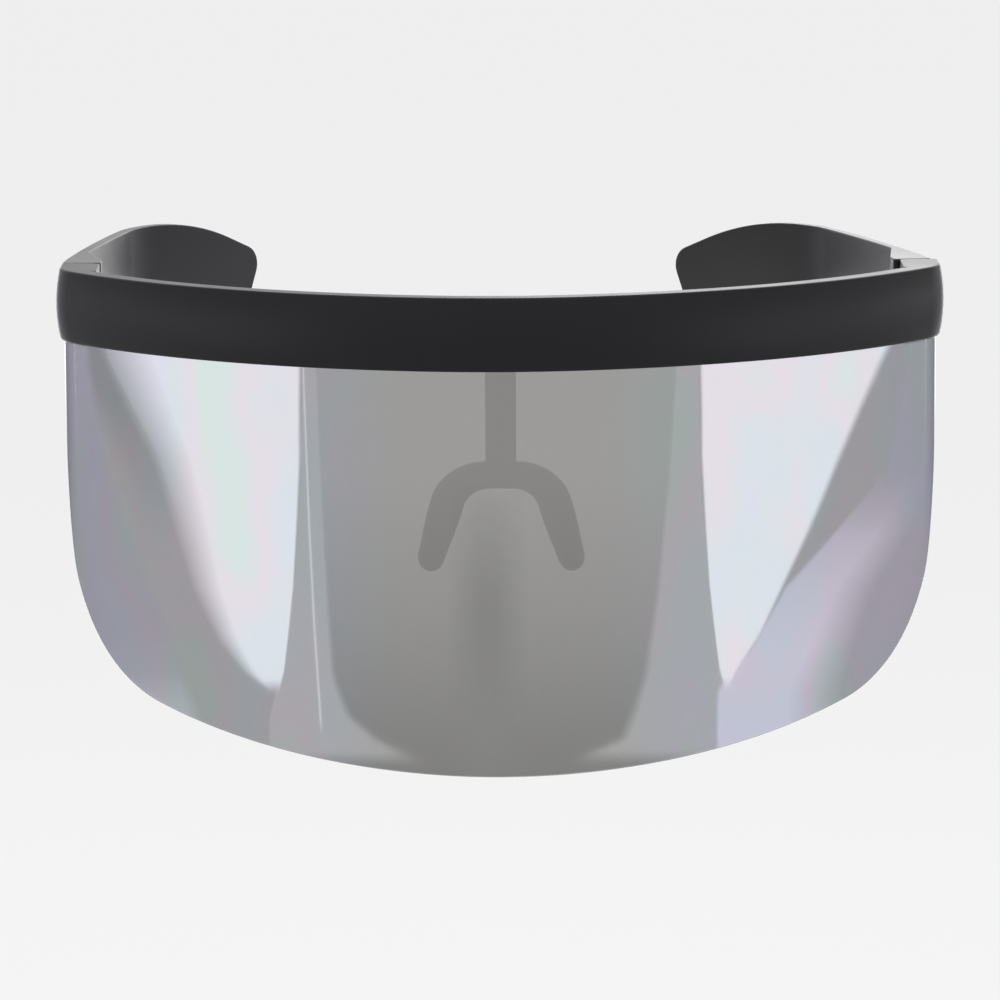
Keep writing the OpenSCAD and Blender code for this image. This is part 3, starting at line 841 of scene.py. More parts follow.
@dataclass(frozen=True)
class CrownedSection:
    """Outline with a swelling front and rounded edges, as depth behind the front and height from the top.

    Args:
        crown: how far the middle of the front stands out.
        front_edge, back_edge: radii of its edges.
    """

    depth: float
    height: float
    crown: float = 0.8 * MM
    front_edge: float = 0.7 * MM
    back_edge: float = 0.35 * MM
    swell_steps: int = 22
    edge_steps: int = 7

    def outline(self, back_corner: list[tuple[float, float]] | None = None) -> Array:
        """Closed outline: an arc of radius (height^2 / 4 + crown^2) / (2 crown) between rounded edges.

        Args:
            back_corner: points that stand for the lower back corner, as many as a rounded edge has.
        """
        swell_r = (self.height ** 2 / 4 + self.crown ** 2) / (2 * self.crown)
        reach = self.height / 2 - self.front_edge
        start = swell_r - math.sqrt((swell_r - self.front_edge) ** 2 - reach ** 2)
        lean = math.degrees(math.atan2(reach, swell_r - start))
        back = self.depth - self.back_edge
        corner = arc((back, self.back_edge - self.height), self.back_edge, 0, -90, self.edge_steps)
        return np.concatenate([
            arc((swell_r, -self.height / 2), swell_r, 180 + lean, 180 - lean, self.swell_steps)[1:-1],
            arc((start, -self.front_edge), self.front_edge, 180 - lean, 90, self.edge_steps),
            arc((back, -self.back_edge), self.back_edge, 90, 0, self.edge_steps),
            corner if back_corner is None else np.array(back_corner),
            arc((start, self.front_edge - self.height), self.front_edge, -90, lean - 180, self.edge_steps)])


@dataclass(frozen=True)
class Screws:
    """Where the small screws stand and what they pass through.

    Args:
        post_place: distance of the post's screws from the middle.
        strip_shares: places of the strip's screws as shares of the lens channel.
        boss_r: radius of the bosses.
        screw_r: radius of the holes that the screws bite into.
        blind_wall: what is left of the bar's front wall before such a hole.
    """

    post_place: float = 5 * MM
    strip_shares: tuple[float, float, float] = (0.33, 0.63, 0.935)
    boss_r: float = 1.6 * MM
    screw_r: float = 0.72 * MM
    blind_wall: float = 0.7 * MM

    def places(self, channel_end: float) -> list[float]:
        """Distances from the middle along the bar, on one side."""
        return [self.post_place] + [share * channel_end for share in self.strip_shares]


@dataclass(frozen=True)
class BrowBar:
    """The bar across the brow: a wall in front of the lens, a wall over it, and the hinge ears at its ends.

    Args:
        channel_stop_angle: how much of the side arc the lens channel leaves out, in degrees.
        lens_t: thickness of the lens.
        slip: clearance of a part that sits still in another.
        ear_t: thickness of the upper and the lower ear.
        ear_pad, ear_root: how far the ears stand in from the bar's back, and how deep they reach into it.
        ear_reach: radius of the ears' back corner about the pin.
        overrun: how far a cutting tool reaches past what it cuts.
    """

    plan: BarPlan = field(default_factory=BarPlan)
    screws: Screws = field(default_factory=Screws)
    height: float = 14 * MM
    depth: float = 4.8 * MM
    top_wall: float = 3.2 * MM
    front_wall: float = 1.5 * MM
    channel_stop_angle: float = 3.0
    lens_t: float = 1.8 * MM
    slip: float = 0.05 * MM
    ear_t: float = 3.4 * MM
    ear_pad: float = 3.4 * MM
    ear_root: float = 0.7 * MM
    ear_reach: float = 6.4 * MM
    knuckle_r: float = 2.9 * MM
    pocket_gap: float = 0.2 * MM
    pin_r: float = 1.05 * MM
    pin_head_r: float = 1.65 * MM
    pin_head_h: float = 1.0 * MM
    insert_r: float = 1.62 * MM
    insert_h: float = 2.2 * MM
    end_edge: float = 0.2 * MM
    step: float = 1.1 * MM
    overrun: float = 1.0 * MM
    edge_steps: int = 3
    ear_steps: int = 12
    pocket_steps: int = 24

    @property
    def low(self) -> float:
        """Height of the bar's underside."""
        return BAR_TOP - self.height

    @property
    def channel_end(self) -> float:
        """Distance from the middle at which the lens channel stops."""
        return self.plan.runs[1] - self.plan.side_r * math.radians(self.channel_stop_angle)

    @property
    def ear_x(self) -> float:
        """Inner face of the ears."""
        return self.plan.end_x - self.depth - self.ear_pad

    def body(self) -> Solid:
        """The section carried along the plan: open at the back along the lens channel, whole past its end."""
        section = CrownedSection(self.depth, self.height)
        inside = np.linspace(-self.top_wall, -self.height, section.edge_steps)
        wall = [(self.depth, -self.top_wall), *((self.front_wall, height) for height in inside)]
        whole, open_back = section.outline(), section.outline(wall)
        drawn, risen = rounding(self.end_edge, self.edge_steps)
        runs = np.concatenate([self.plan.spread(0, self.channel_end, self.step),
                               self.plan.spread(self.channel_end + self.slip, self.plan.runs[1], self.step),
                               self.plan.spread(self.plan.runs[1], self.plan.runs[2], self.step / 2)[1:],
                               (self.plan.end - risen)[::-1]])
        shapes = [open_back if run <= self.channel_end else whole for run in runs]
        shapes[-len(drawn):] = [inset(whole, amount) for amount in drawn[::-1]]
        half = np.stack(shapes)
        both = np.concatenate([half[:0:-1], half])
        along = np.concatenate([-runs[:0:-1], runs])[:, None]
        return tube(self.plan.place(along, both[..., 0], both[..., 1]))

    def ears(self) -> Solid:
        """The thickening that each pin passes through, its back corner on an arc about the pin."""
        front = PIN_Y - self.plan.end_run
        start = math.degrees(math.acos((self.ear_x - PIN_X) / self.ear_reach))
        swept = arc((PIN_X, PIN_Y), self.ear_reach, 90, start, self.ear_steps)
        outer = self.ear_x + self.ear_pad + self.ear_root
        outline = np.concatenate([[(self.ear_x, front), (outer, front), (outer, self.plan.joint_y),
                                   (PIN_X, self.plan.joint_y)], swept])
        return slab(outline, self.low, BAR_TOP, self.end_edge).twinned()

    def rods(self, near: float, far: float, radius: float) -> Solid:
        """Round rods between two depths behind the bar's front, one at each small screw."""
        rods = [rod(*(self.plan.place(run, depth, -self.height / 2) for depth in (near, far)), radius)
                for run in self.screws.places(self.channel_end)]
        return rods[0].joined(*rods[1:]).twinned()

    def pocket(self) -> Solid:
        """The room that the temple's knuckle and its web turn in."""
        radius = self.knuckle_r + self.pocket_gap
        inner, back = self.ear_x - self.overrun, self.plan.joint_y + self.overrun
        outline = np.concatenate([arc((PIN_X, PIN_Y), radius, 0, -90, self.pocket_steps),
                                  [(inner, PIN_Y - radius), (inner, back), (PIN_X + radius, back)]])
        return slab(outline, self.low + self.ear_t, BAR_TOP - self.ear_t).twinned()

    def pin_bores(self) -> list[Solid]:
        """The way in for the hinge screw from below, the seat of its head and the brass insert's seat."""
        below = self.low - self.overrun
        bores = [(self.pin_r, below, self.low + self.height / 2),
                 (self.pin_head_r, below, self.low + self.pin_head_h),
                 (self.insert_r, BAR_TOP - self.ear_t - self.overrun, BAR_TOP - self.ear_t + self.insert_h)]
        return [pin_rod(start, end, radius).twinned() for radius, start, end in bores]

    def build(self, finishes: Finishes) -> None:
        """Makes the bar, with bosses for the lens from inside its front wall, and holes for their screws."""
        bosses = self.rods(self.front_wall / 2, self.front_wall + self.lens_t, self.screws.boss_r)
        holes = self.rods(self.screws.blind_wall, self.depth, self.screws.screw_r)
        solid = carve(self.body(), Cut.JOIN, self.ears(), bosses)
        solid = carve(solid, Cut.REMOVE, self.pocket(), *self.pin_bores(), holes)
        add_piece("brow_bar", solid, "front", "frame", finishes.bar)


@dataclass(frozen=True)
class ShieldLens:
    """The one tall lens: a strip of even thickness bent along the bar's plan.

    Its outline is drawn flat, as distance along the bar and height from the bar's top: a wide lower arc, a
    corner arc and a side arc, joined tangentially, then a ledge under the bar and a shoulder up into the
    channel.

    Args:
        inset_depth: how far its front lies behind the bar's.
        drop: how far its lower edge lies below the bar's top.
        margin: how far its side edges stay inside the end of the bar's corner arc.
        crease: angle in degrees above which an edge of its rim stays sharp.
        squarely: how squarely a face looks out or in to be one of the lens's two great faces.
    """

    bar: BrowBar
    inset_depth: float = 1.55 * MM
    drop: float = 91.3 * MM
    margin: float = 1.0 * MM
    lower_angle: float = 15.3
    corner_r: float = 37.3 * MM
    corner_angle: float = 60.1
    side_r: float = 170 * MM
    ledge_gap: float = 0.15 * MM
    rim_edge: float = 0.3 * MM
    crease: float = 50.0
    squarely: float = 0.985
    step: float = 1.2 * MM
    lower_rows: int = 40
    upper_rows: int = 6
    rim_steps: int = 5

    @cached_property
    def arcs(self) -> list[tuple[Array, float, float, float]]:
        """The lower edge's arcs as centre, radius, and start and end angle from straight down, in radians."""
        first, second = math.radians(self.lower_angle), math.radians(self.lower_angle + self.corner_angle)
        lower_r = self.corner_r + (self.bar.plan.runs[2] - self.margin - self.side_r
                                   + (self.side_r - self.corner_r) * math.sin(second)) / math.sin(first)
        centre_1 = np.array([0, lower_r - self.drop])
        centre_2 = centre_1 + (lower_r - self.corner_r) * np.array([math.sin(first), -math.cos(first)])
        centre_3 = centre_2 + (self.corner_r - self.side_r) * np.array([math.sin(second), -math.cos(second)])
        return [(centre_1, lower_r, 0.0, first), (centre_2, self.corner_r, first, second),
                (centre_3, self.side_r, second, math.pi / 2)]

    @property
    def ledge(self) -> float:
        """Height of the edge under the bar, from the bar's top."""
        return -self.bar.height - self.ledge_gap

    @property
    def top(self) -> float:
        """Height of the edge inside the channel, from the bar's top."""
        return -self.bar.top_wall - self.bar.slip

    @property
    def shoulder(self) -> float:
        """Distance from the middle at which the lens leaves the channel."""
        return self.bar.channel_end - self.bar.slip - self.bar.lens_t / 2

    def lower_edge(self, drawn_in: float) -> Array:
        """Points of the drawn-in lower edge from the middle to the ledge, as distance and height.

        Each is centre + (radius - drawn_in) (sin a, -cos a). One point falls on the shoulder, so that the
        sheet can step up there.
        """
        points = []
        for centre, radius, start, end in self.arcs:
            reach = radius - drawn_in
            if end == math.pi / 2:
                end = math.acos((centre[1] - self.ledge + drawn_in) / reach)
            stops = [start, end]
            at_shoulder = (self.shoulder - drawn_in - centre[0]) / reach
            if abs(at_shoulder) < 1 and start < math.asin(at_shoulder) < end:
                stops.insert(1, math.asin(at_shoulder))
            for low, high in zip(stops, stops[1:]):
                angle = self.bar.plan.spread(low, high, self.step / radius)[1 if points else 0:]
                points.append(centre + reach * np.stack([np.sin(angle), -np.cos(angle)], axis=-1))
        return np.concatenate(points)

    def sheet(self, edge: Array, depth: float) -> tuple[Array, Array]:
        """One face of the lens, as points and faces.

        Columns stand on the lower edge. A first grid takes them up to the ledge, and a second, over the
        shoulder's width alone, on up into the channel.
        """
        ledge, top = self.ledge - self.rim_edge, self.top - self.rim_edge
        share = np.linspace(0, 1, self.lower_rows + 1)[:, None]
        run = np.concatenate([-edge[:0:-1, 0], edge[:, 0]])
        foot = np.concatenate([edge[:0:-1, 1], edge[:, 1]])
        lower = self.bar.plan.place(run[None, :], depth, foot + (ledge - foot) * share)
        inside = run[np.abs(run) <= self.shoulder - self.rim_edge + MERGE]
        rise = np.linspace(ledge, top, self.upper_rows + 1)[:, None]
        upper = self.bar.plan.place(inside[None, :], depth, rise)
        faces = np.concatenate([quads(*lower.shape[:2], closed=False),
                                quads(*upper.shape[:2], closed=False) + lower.shape[0] * lower.shape[1]])
        return np.concatenate([lower.reshape(-1, 3), upper.reshape(-1, 3)]), faces

    def rim_lines(self, edge: Array, outer_edge: Array) -> tuple[Array, Array]:
        """The closed line on which a face ends and the rim's outermost line, point for point, laid flat."""
        side = self.shoulder - self.rim_edge
        past = edge[edge[:, 0] > side + MERGE][-2::-1, 0]
        across = edge[edge[:, 0] < side - MERGE][::-1, 0]
        lines = []
        for foot, drawn in ((edge, self.rim_edge), (outer_edge, 0.0)):
            ledge, top = self.ledge - drawn, self.top - drawn
            rise = np.linspace(ledge, top, self.upper_rows + 1)
            line = np.concatenate([foot] + [
                np.column_stack(np.broadcast_arrays(run, height)) for run, height in
                ((past, ledge), (self.shoulder - drawn, rise), (across, top))])
            lines.append(np.concatenate([line, line[-2:0:-1] * (-1, 1)]))
        return lines[0], lines[1]

    def rim(self, edge: Array, outer_edge: Array) -> tuple[Array, Array]:
        """The rounded rim: sin a of the way out and rim_edge (1 - cos a) deep, then the same back in."""
        near, far = self.rim_lines(edge, outer_edge)
        angle = np.linspace(0, math.pi / 2, self.rim_steps + 1)
        out = np.concatenate([np.sin(angle), np.sin(angle)[::-1]])[:, None, None]
        sunk = self.rim_edge * (1 - np.cos(angle))
        depth = self.inset_depth + np.concatenate([sunk, self.bar.lens_t - sunk[::-1]])[:, None]
        flat = near + (far - near) * out
        rings = self.bar.plan.place(flat[..., 0], depth, flat[..., 1])
        return rings.reshape(-1, 3), quads(*rings.shape[:2], closed=True)

    def solid(self) -> Solid:
        """Front face, back face and rim, joined where their points meet, with the holes for the bosses."""
        edge, outer_edge = self.lower_edge(self.rim_edge), self.lower_edge(0)
        front, front_faces = self.sheet(edge, self.inset_depth)
        back, back_faces = self.sheet(edge, self.inset_depth + self.bar.lens_t)
        rim, rim_faces = self.rim(edge, outer_edge)
        points = np.concatenate([front, back, rim])
        faces = np.concatenate([front_faces, back_faces[:, ::-1] + len(front),
                                rim_faces[:, ::-1] + 2 * len(front)])
        mesh = Solid(points, faces.ravel(), np.full(len(faces), 4)).mesh("lens")
        merge(mesh, outwards=True)
        closed = Solid.read(mesh).outward()
        bpy.data.meshes.remove(mesh)
        past = self.bar.lens_t / 2
        holes = self.bar.rods(self.inset_depth - past, self.inset_depth + self.bar.lens_t + past,
                              self.bar.screws.boss_r + 2 * self.bar.slip)
        return carve(closed, Cut.REMOVE, holes)

    def outward_at(self, points: Array) -> Array:
        """Direction in which the bar's front faces near each point: (sin turn, -cos turn), mirrored."""
        plan = self.bar.plan
        x = np.abs(points[:, 0])
        turn = [np.arctan2(x - centre[0], centre[1] - points[:, 1]) for centre in plan.centres]
        picked = np.select([turn[0] < plan.turns[0], turn[1] < plan.turns[1]], turn[:2], turn[2])
        return np.stack([np.sign(points[:, 0]) * np.sin(picked), -np.cos(picked), np.zeros(len(x))], axis=-1)

    def build(self, finishes: Finishes) -> None:
        """Makes the lens, mirrored in front and smoked behind, with exact normals on both faces."""
        piece = add_piece("shield_lens", self.solid(), "front", "lens", finishes.smoke, finishes.mirror,
                          crease=self.crease)
        piece.modifiers.clear()
        mesh = piece.data
        made = Solid.read(mesh)
        normals, centres, corner_normals = (
            np.empty((len(rows), 3), np.float32) for rows in (mesh.polygons, mesh.polygons, mesh.loops))
        mesh.polygons.foreach_get("normal", normals.ravel())
        mesh.polygons.foreach_get("center", centres.ravel())
        mesh.corner_normals.foreach_get("vector", corner_normals.ravel())
        faced = np.einsum("ij,ij->i", normals, self.outward_at(centres))
        mesh.polygons.foreach_set("material_index", (faced > self.squarely).astype(np.int32))
        exact = self.outward_at(made.points[made.corners]) * np.sign(np.repeat(faced, made.counts))[:, None]
        great = np.repeat(np.abs(faced) > self.squarely, made.counts)[:, None]
        mesh.normals_split_custom_set(np.where(great, exact, corner_normals).tolist())


@dataclass(frozen=True)
class NosePiece:
    """The soft saddle on the nose: a level top, two shoulders and two legs, drawn in a plane that leans back.

    Args:
        depth, drop: how far the middle of its top lies behind the bar's front and below the bar's top.
        rake: how far its plane leans, in degrees.
        flat: half of the level top's length.
        half, shoulder_half, leg_half: half of its width on top, at the shoulders and at the legs' ends.
        depth_half, leg_depth_half: half of its depth on top and at the legs' ends.
        post, tongue: width and depth of the post's end and of its tongue, and the tongue's length.
    """

    depth: float = 16 * MM
    drop: float = 35.7 * MM
    rake: float = 20.0
    flat: float = 2.5 * MM
    shoulder_r: float = 8 * MM
    shoulder_angle: float = 75.0
    leg: float = 14.8 * MM
    half: float = 2.5 * MM
    shoulder_half: float = 3.2 * MM
    leg_half: float = 2.5 * MM
    depth_half: float = 2.7 * MM
    leg_depth_half: float = 3.3 * MM
    post: tuple[float, float] = (5.8 * MM, 2.6 * MM)
    tongue: tuple[float, float, float] = (3.6 * MM, 1.6 * MM, 3.0 * MM)
    slip: float = 0.05 * MM
    post_edge: float = 0.25 * MM
    sides: int = 56
    body_steps: int = 64
    tip_steps: int = 9

    @property
    def leaning(self) -> Matrix:
        """From the leaning plane, x across, y back and z up, to the frame."""
        spot = Vector((0, BAR_FRONT + self.depth, BAR_TOP - self.drop))
        return Matrix.Translation(spot) @ Matrix.Rotation(math.radians(self.rake), 4, "X")

    @staticmethod
    def ease(first: float, second: float, share: Array) -> Array:
        """From first to second as first + (second - first) (1 - cos(180 share)) / 2."""
        return first + (second - first) * (1 - np.cos(math.pi * np.clip(share, 0, 1))) / 2

    def solid(self) -> Solid:
        """Ellipses carried along the line of the saddle, their halves eased from the top to the legs."""
        shoulder = math.radians(self.shoulder_angle)
        run = self.flat + self.shoulder_r * shoulder + self.leg
        body = np.linspace(0, run - self.leg_half, self.body_steps + 1)
        angle = np.linspace(0, math.pi / 2, self.tip_steps + 1)[1:-1]
        s = np.concatenate([body, run - self.leg_half * (1 - np.sin(angle))])
        turn = np.clip((s - self.flat) / self.shoulder_r, 0, shoulder)
        past = np.maximum(0, s - self.flat - self.shoulder_r * shoulder)
        x = np.minimum(s, self.flat) + self.shoulder_r * np.sin(turn) + past * np.cos(turn)
        z = -self.shoulder_r * (1 - np.cos(turn)) - past * np.sin(turn)
        rounded = np.concatenate([np.ones(len(body)), np.cos(angle)])
        share = 2 * s / run
        wide = rounded * np.where(share < 1, self.ease(self.half, self.shoulder_half, share),
                                  self.ease(self.shoulder_half, self.leg_half, share - 1))
        deep = rounded * self.ease(self.depth_half, self.leg_depth_half, s / run)
        around = np.linspace(0, 2 * math.pi, self.sides, endpoint=False)[None, :]
        out, back = wide[:, None] * np.cos(around), deep[:, None] * np.sin(around)
        half = np.stack([x[:, None] + out * np.sin(turn)[:, None], back,
                         z[:, None] + out * np.cos(turn)[:, None]], axis=-1)
        return tube(np.concatenate([half[:0:-1] * (-1, 1, 1), half])).moved(self.leaning)

    def seats(self) -> list[Solid]:
        """The slot for the post's tongue and the level seat for its end."""
        shapes = [(*self.tongue[:2], self.half - self.tongue[2] - self.slip), (*self.post, self.half)]
        return [box((-width / 2 - self.slip, -depth / 2 - self.slip, low),
                    (width / 2 + self.slip, depth / 2 + self.slip, 2 * self.half)).moved(self.leaning)
                for width, depth, low in shapes]

    def build(self, finishes: Finishes) -> None:
        """Makes the saddle and the post that carries it."""
        solid = carve(self.solid(), Cut.REMOVE, *self.seats())
        add_piece("nose_saddle", solid, "front", "nose_rubber", finishes.rubber)
        add_refined("nose_post", "inner_plastic", finishes.inner, self.post_edge)


@dataclass(frozen=True)
class Temple:
    """A side arm: a front block that turns in, a long slight curve, a bend round the head and a drooping tip.

    Args:
        side: the wearer's side.
        rest_fold: how far it is folded in at rest, in degrees.
        block_len, block_turn: length of the front block and how far it turns in, in degrees.
        run_r, run_angle: radius of the long curve and the angle that it covers.
        bend_r, bend_angle: the same of the bend round the head, as droop_r and droop_angle of that down.
        tip_run, tip_r: length of the straight tip and radius of its corners.
        block_lap: how far the block laps in past the ears.
        block_lead, block_fade_angle, block_round_r: where its inner side starts back into the arm, at what
            angle and over which radius.
        swing_gap: gap to the bar and to the ears.
        running: clearance round the hinge screw.
    """

    side: Side
    rest_fold: float
    bar: BrowBar
    thickness: float = 3.2 * MM
    height: float = 12.6 * MM
    block_len: float = 8 * MM
    block_turn: float = 6.7
    run_r: float = 515 * MM
    run_angle: float = 5.1
    bend_r: float = 24 * MM
    bend_angle: float = 29.0
    droop_r: float = 60 * MM
    droop_angle: float = 22.5
    tip_run: float = 10 * MM
    tip_r: float = 3.8 * MM
    block_lap: float = 0.2 * MM
    block_lead: float = 2.5 * MM
    block_fade_angle: float = 13.0
    block_round_r: float = 9 * MM
    swing_gap: float = 0.1 * MM
    running: float = 0.04 * MM
    pin_r: float = 1 * MM
    corner: float = 0.7 * MM
    edge: float = 0.3 * MM
    knuckle_edge: float = 0.12 * MM
    step: float = 1.2 * MM
    edge_steps: int = 4
    tip_steps: int = 9
    corner_steps: int = 6
    knuckle_steps: int = 40

    @property
    def front_y(self) -> float:
        """The temple's front face, open."""
        return self.bar.plan.joint_y + self.swing_gap

    @property
    def block_r(self) -> float:
        """Radius of the arc over which the front block turns inward."""
        return self.block_len / math.radians(self.block_turn)

    def level(self) -> tuple[Array, Array, Array]:
        """Points, turns and height of the level stretches of the outer top edge.

        Three arcs run on from each other: block, run and bend. Each is centre + radius (cos turn, sin turn),
        with its centre at its first point - radius (cos turn, sin turn). The height changes evenly over the
        bend.
        """
        spot, turn = np.array([self.bar.plan.end_x, self.front_y]), 0.0
        points, turns, heights = [], [], []
        tall = self.bar.height
        stretches = [(self.block_r, self.block_turn, tall), (self.run_r, self.run_angle, tall),
                     (self.bend_r, self.bend_angle, self.height)]
        _, risen = rounding(self.edge, self.edge_steps)
        for radius, angle, next_tall in stretches:
            centre, end = spot - radius * heading(turn), turn + math.radians(angle)
            along = self.bar.plan.spread(turn, end, self.step / radius)[1:]
            if not points:
                along = np.concatenate([risen / radius, along])
            points.append(centre + radius * heading(along))
            turns.append(along)
            heights.append(np.interp(along, [turn, end], [tall, next_tall]))
            spot, turn, tall = points[-1][-1], end, next_tall
        return np.concatenate(points), np.concatenate(turns), np.concatenate(heights)

    def spine(self) -> tuple[Array, Array, Array, Array, Array]:
        """The outer top edge as stations: points, turn, droop, height and how far the section draws in.

        Past the level stretches the edge goes down an arc of droop_r in the upright plane of the last turn,
        and on straight. The tip draws in as a circle of tip_r.
        """
        level, turn, height = self.level()
        droop = self.bar.plan.spread(0, math.radians(self.droop_angle), self.step / self.droop_r)[1:]
        angle = np.linspace(0, math.pi / 2, self.tip_steps + 1)
        past = self.tip_run - self.tip_r * (1 - np.sin(angle))
        drooped = np.concatenate([droop, np.full(len(past), droop[-1])])
        past = np.concatenate([np.zeros(len(droop)), past])
        ahead = self.droop_r * np.sin(drooped) + past * np.cos(drooped)
        fall = self.droop_r * (np.cos(drooped) - 1) - past * np.sin(drooped)
        back = level[-1] + ahead[:, None] * np.array([-math.sin(turn[-1]), math.cos(turn[-1])])
        points = np.column_stack([np.concatenate([level, back]),
                                  BAR_TOP + np.concatenate([np.zeros(len(level)), fall])])
        drooped = np.concatenate([np.zeros(len(level)), drooped])
        turn = np.concatenate([turn, np.full(len(back), turn[-1])])
        inward = np.zeros(len(points))
        inward[-len(angle):] = self.tip_r * (1 - np.cos(angle))
        height = np.concatenate([height, np.full(len(back), self.height)])
        return points, turn, drooped, height - 2 * inward, inward

    def arm(self) -> Solid:
        """The crowned section carried along the spine: point - depth * out + height * up at each station."""
        points, turn, droop, height, inward = self.spine()
        outlines = np.stack([CrownedSection(self.thickness, tall).outline() - (0, drawn)
                             for tall, drawn in zip(height, inward)])
        drawn, _ = rounding(self.edge, self.edge_steps)
        outlines[:len(drawn)] = [inset(outline, amount) for outline, amount in zip(outlines, drawn)]
        out = np.column_stack([heading(turn), np.zeros(len(turn))])[:, None]
        up = np.column_stack([-np.sin(turn) * np.sin(droop), np.cos(turn) * np.sin(droop), np.cos(droop)])
        up = up[:, None]
        return tube(points[:, None] - outlines[..., :1] * out + outlines[..., 1:] * up)

    def block(self) -> Solid:
        """The front block that laps in past the ear, and narrows back into the arm at block_fade_angle.

        Its narrowing side meets the middle of the arm's thickness (m - s) . (cos b, sin b) / sin(f + b) past
        its start s, where m is that middle at the end of the block, b the block's turn and f the fade angle.
        """
        inner = self.bar.ear_x - self.block_lap
        fade, turn = math.radians(self.block_fade_angle), math.radians(self.block_turn)
        centre = np.array([self.bar.plan.end_x - self.block_r, self.front_y])
        middle = centre + (self.block_r - self.thickness / 2) * heading(turn)
        side = arc((inner + self.block_round_r, self.front_y + self.block_lead), self.block_round_r,
                   180 - self.block_fade_angle, 180, self.corner_steps)
        run = np.dot(middle - side[0], heading(turn)) / math.sin(fade + turn)
        outline = np.concatenate([
            [side[0] + run * np.array([math.sin(fade), math.cos(fade)])], side,
            arc((inner + self.corner, self.front_y + self.corner), self.corner, 180, 270, self.corner_steps),
            [(self.bar.plan.end_x - self.thickness / 2, self.front_y)]])
        return slab(outline, self.bar.low, BAR_TOP, self.edge)

    def knuckle(self) -> Solid:
        """The knuckle round the pin and the web that joins it to the block."""
        gap, radius = self.bar.ear_t + self.swing_gap, self.bar.knuckle_r
        back = self.front_y + self.edge
        outline = np.concatenate([arc((PIN_X, PIN_Y), radius, 180, 360, self.knuckle_steps),
                                  [(PIN_X + radius, back), (PIN_X - radius, back)]])
        return slab(outline, self.bar.low + gap, BAR_TOP - gap, self.knuckle_edge, steps=2)

    def build(self, finishes: Finishes) -> None:
        """Makes the temple, folded in by its fold at rest."""
        name = "temple_" + self.side.name.lower()
        bore = pin_rod(self.bar.low, BAR_TOP, self.pin_r + self.running)
        solid = carve(carve(self.arm(), Cut.JOIN, self.block(), self.knuckle()), Cut.REMOVE, bore)
        pin = Matrix.Translation((PIN_X, PIN_Y, 0))
        fold = pin @ Matrix.Rotation(math.radians(self.rest_fold), 4, "Z") @ pin.inverted()
        add_piece(name, solid.moved(fold).on(self.side), name, "temple", finishes.temple)


@dataclass(frozen=True)
class Fixings:
    """The strip that clamps the lens, the small screws, the hinge screws and their brass inserts.

    Args:
        strip_edge, small_edge: width of the broken edges of the strip and of the small parts.
    """

    strip_edge: float = 0.15 * MM
    small_edge: float = 0.06 * MM

    def build(self, finishes: Finishes) -> None:
        """Makes each from its CAD node, with its edges broken."""
        for start, slot, finish, edge in (
                ("lens_retainer", "inner_plastic", finishes.inner, self.strip_edge),
                ("post_screw", "small_screw", finishes.screw, self.small_edge),
                ("retainer_screw", "small_screw", finishes.screw, self.small_edge),
                ("hinge_screw", "hinge_screw", finishes.pin, self.small_edge),
                ("hinge_insert", "insert", finishes.brass, self.small_edge)):
            for node in sorted(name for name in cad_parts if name.startswith(start)):
                add_refined(node, slot, finish, edge)


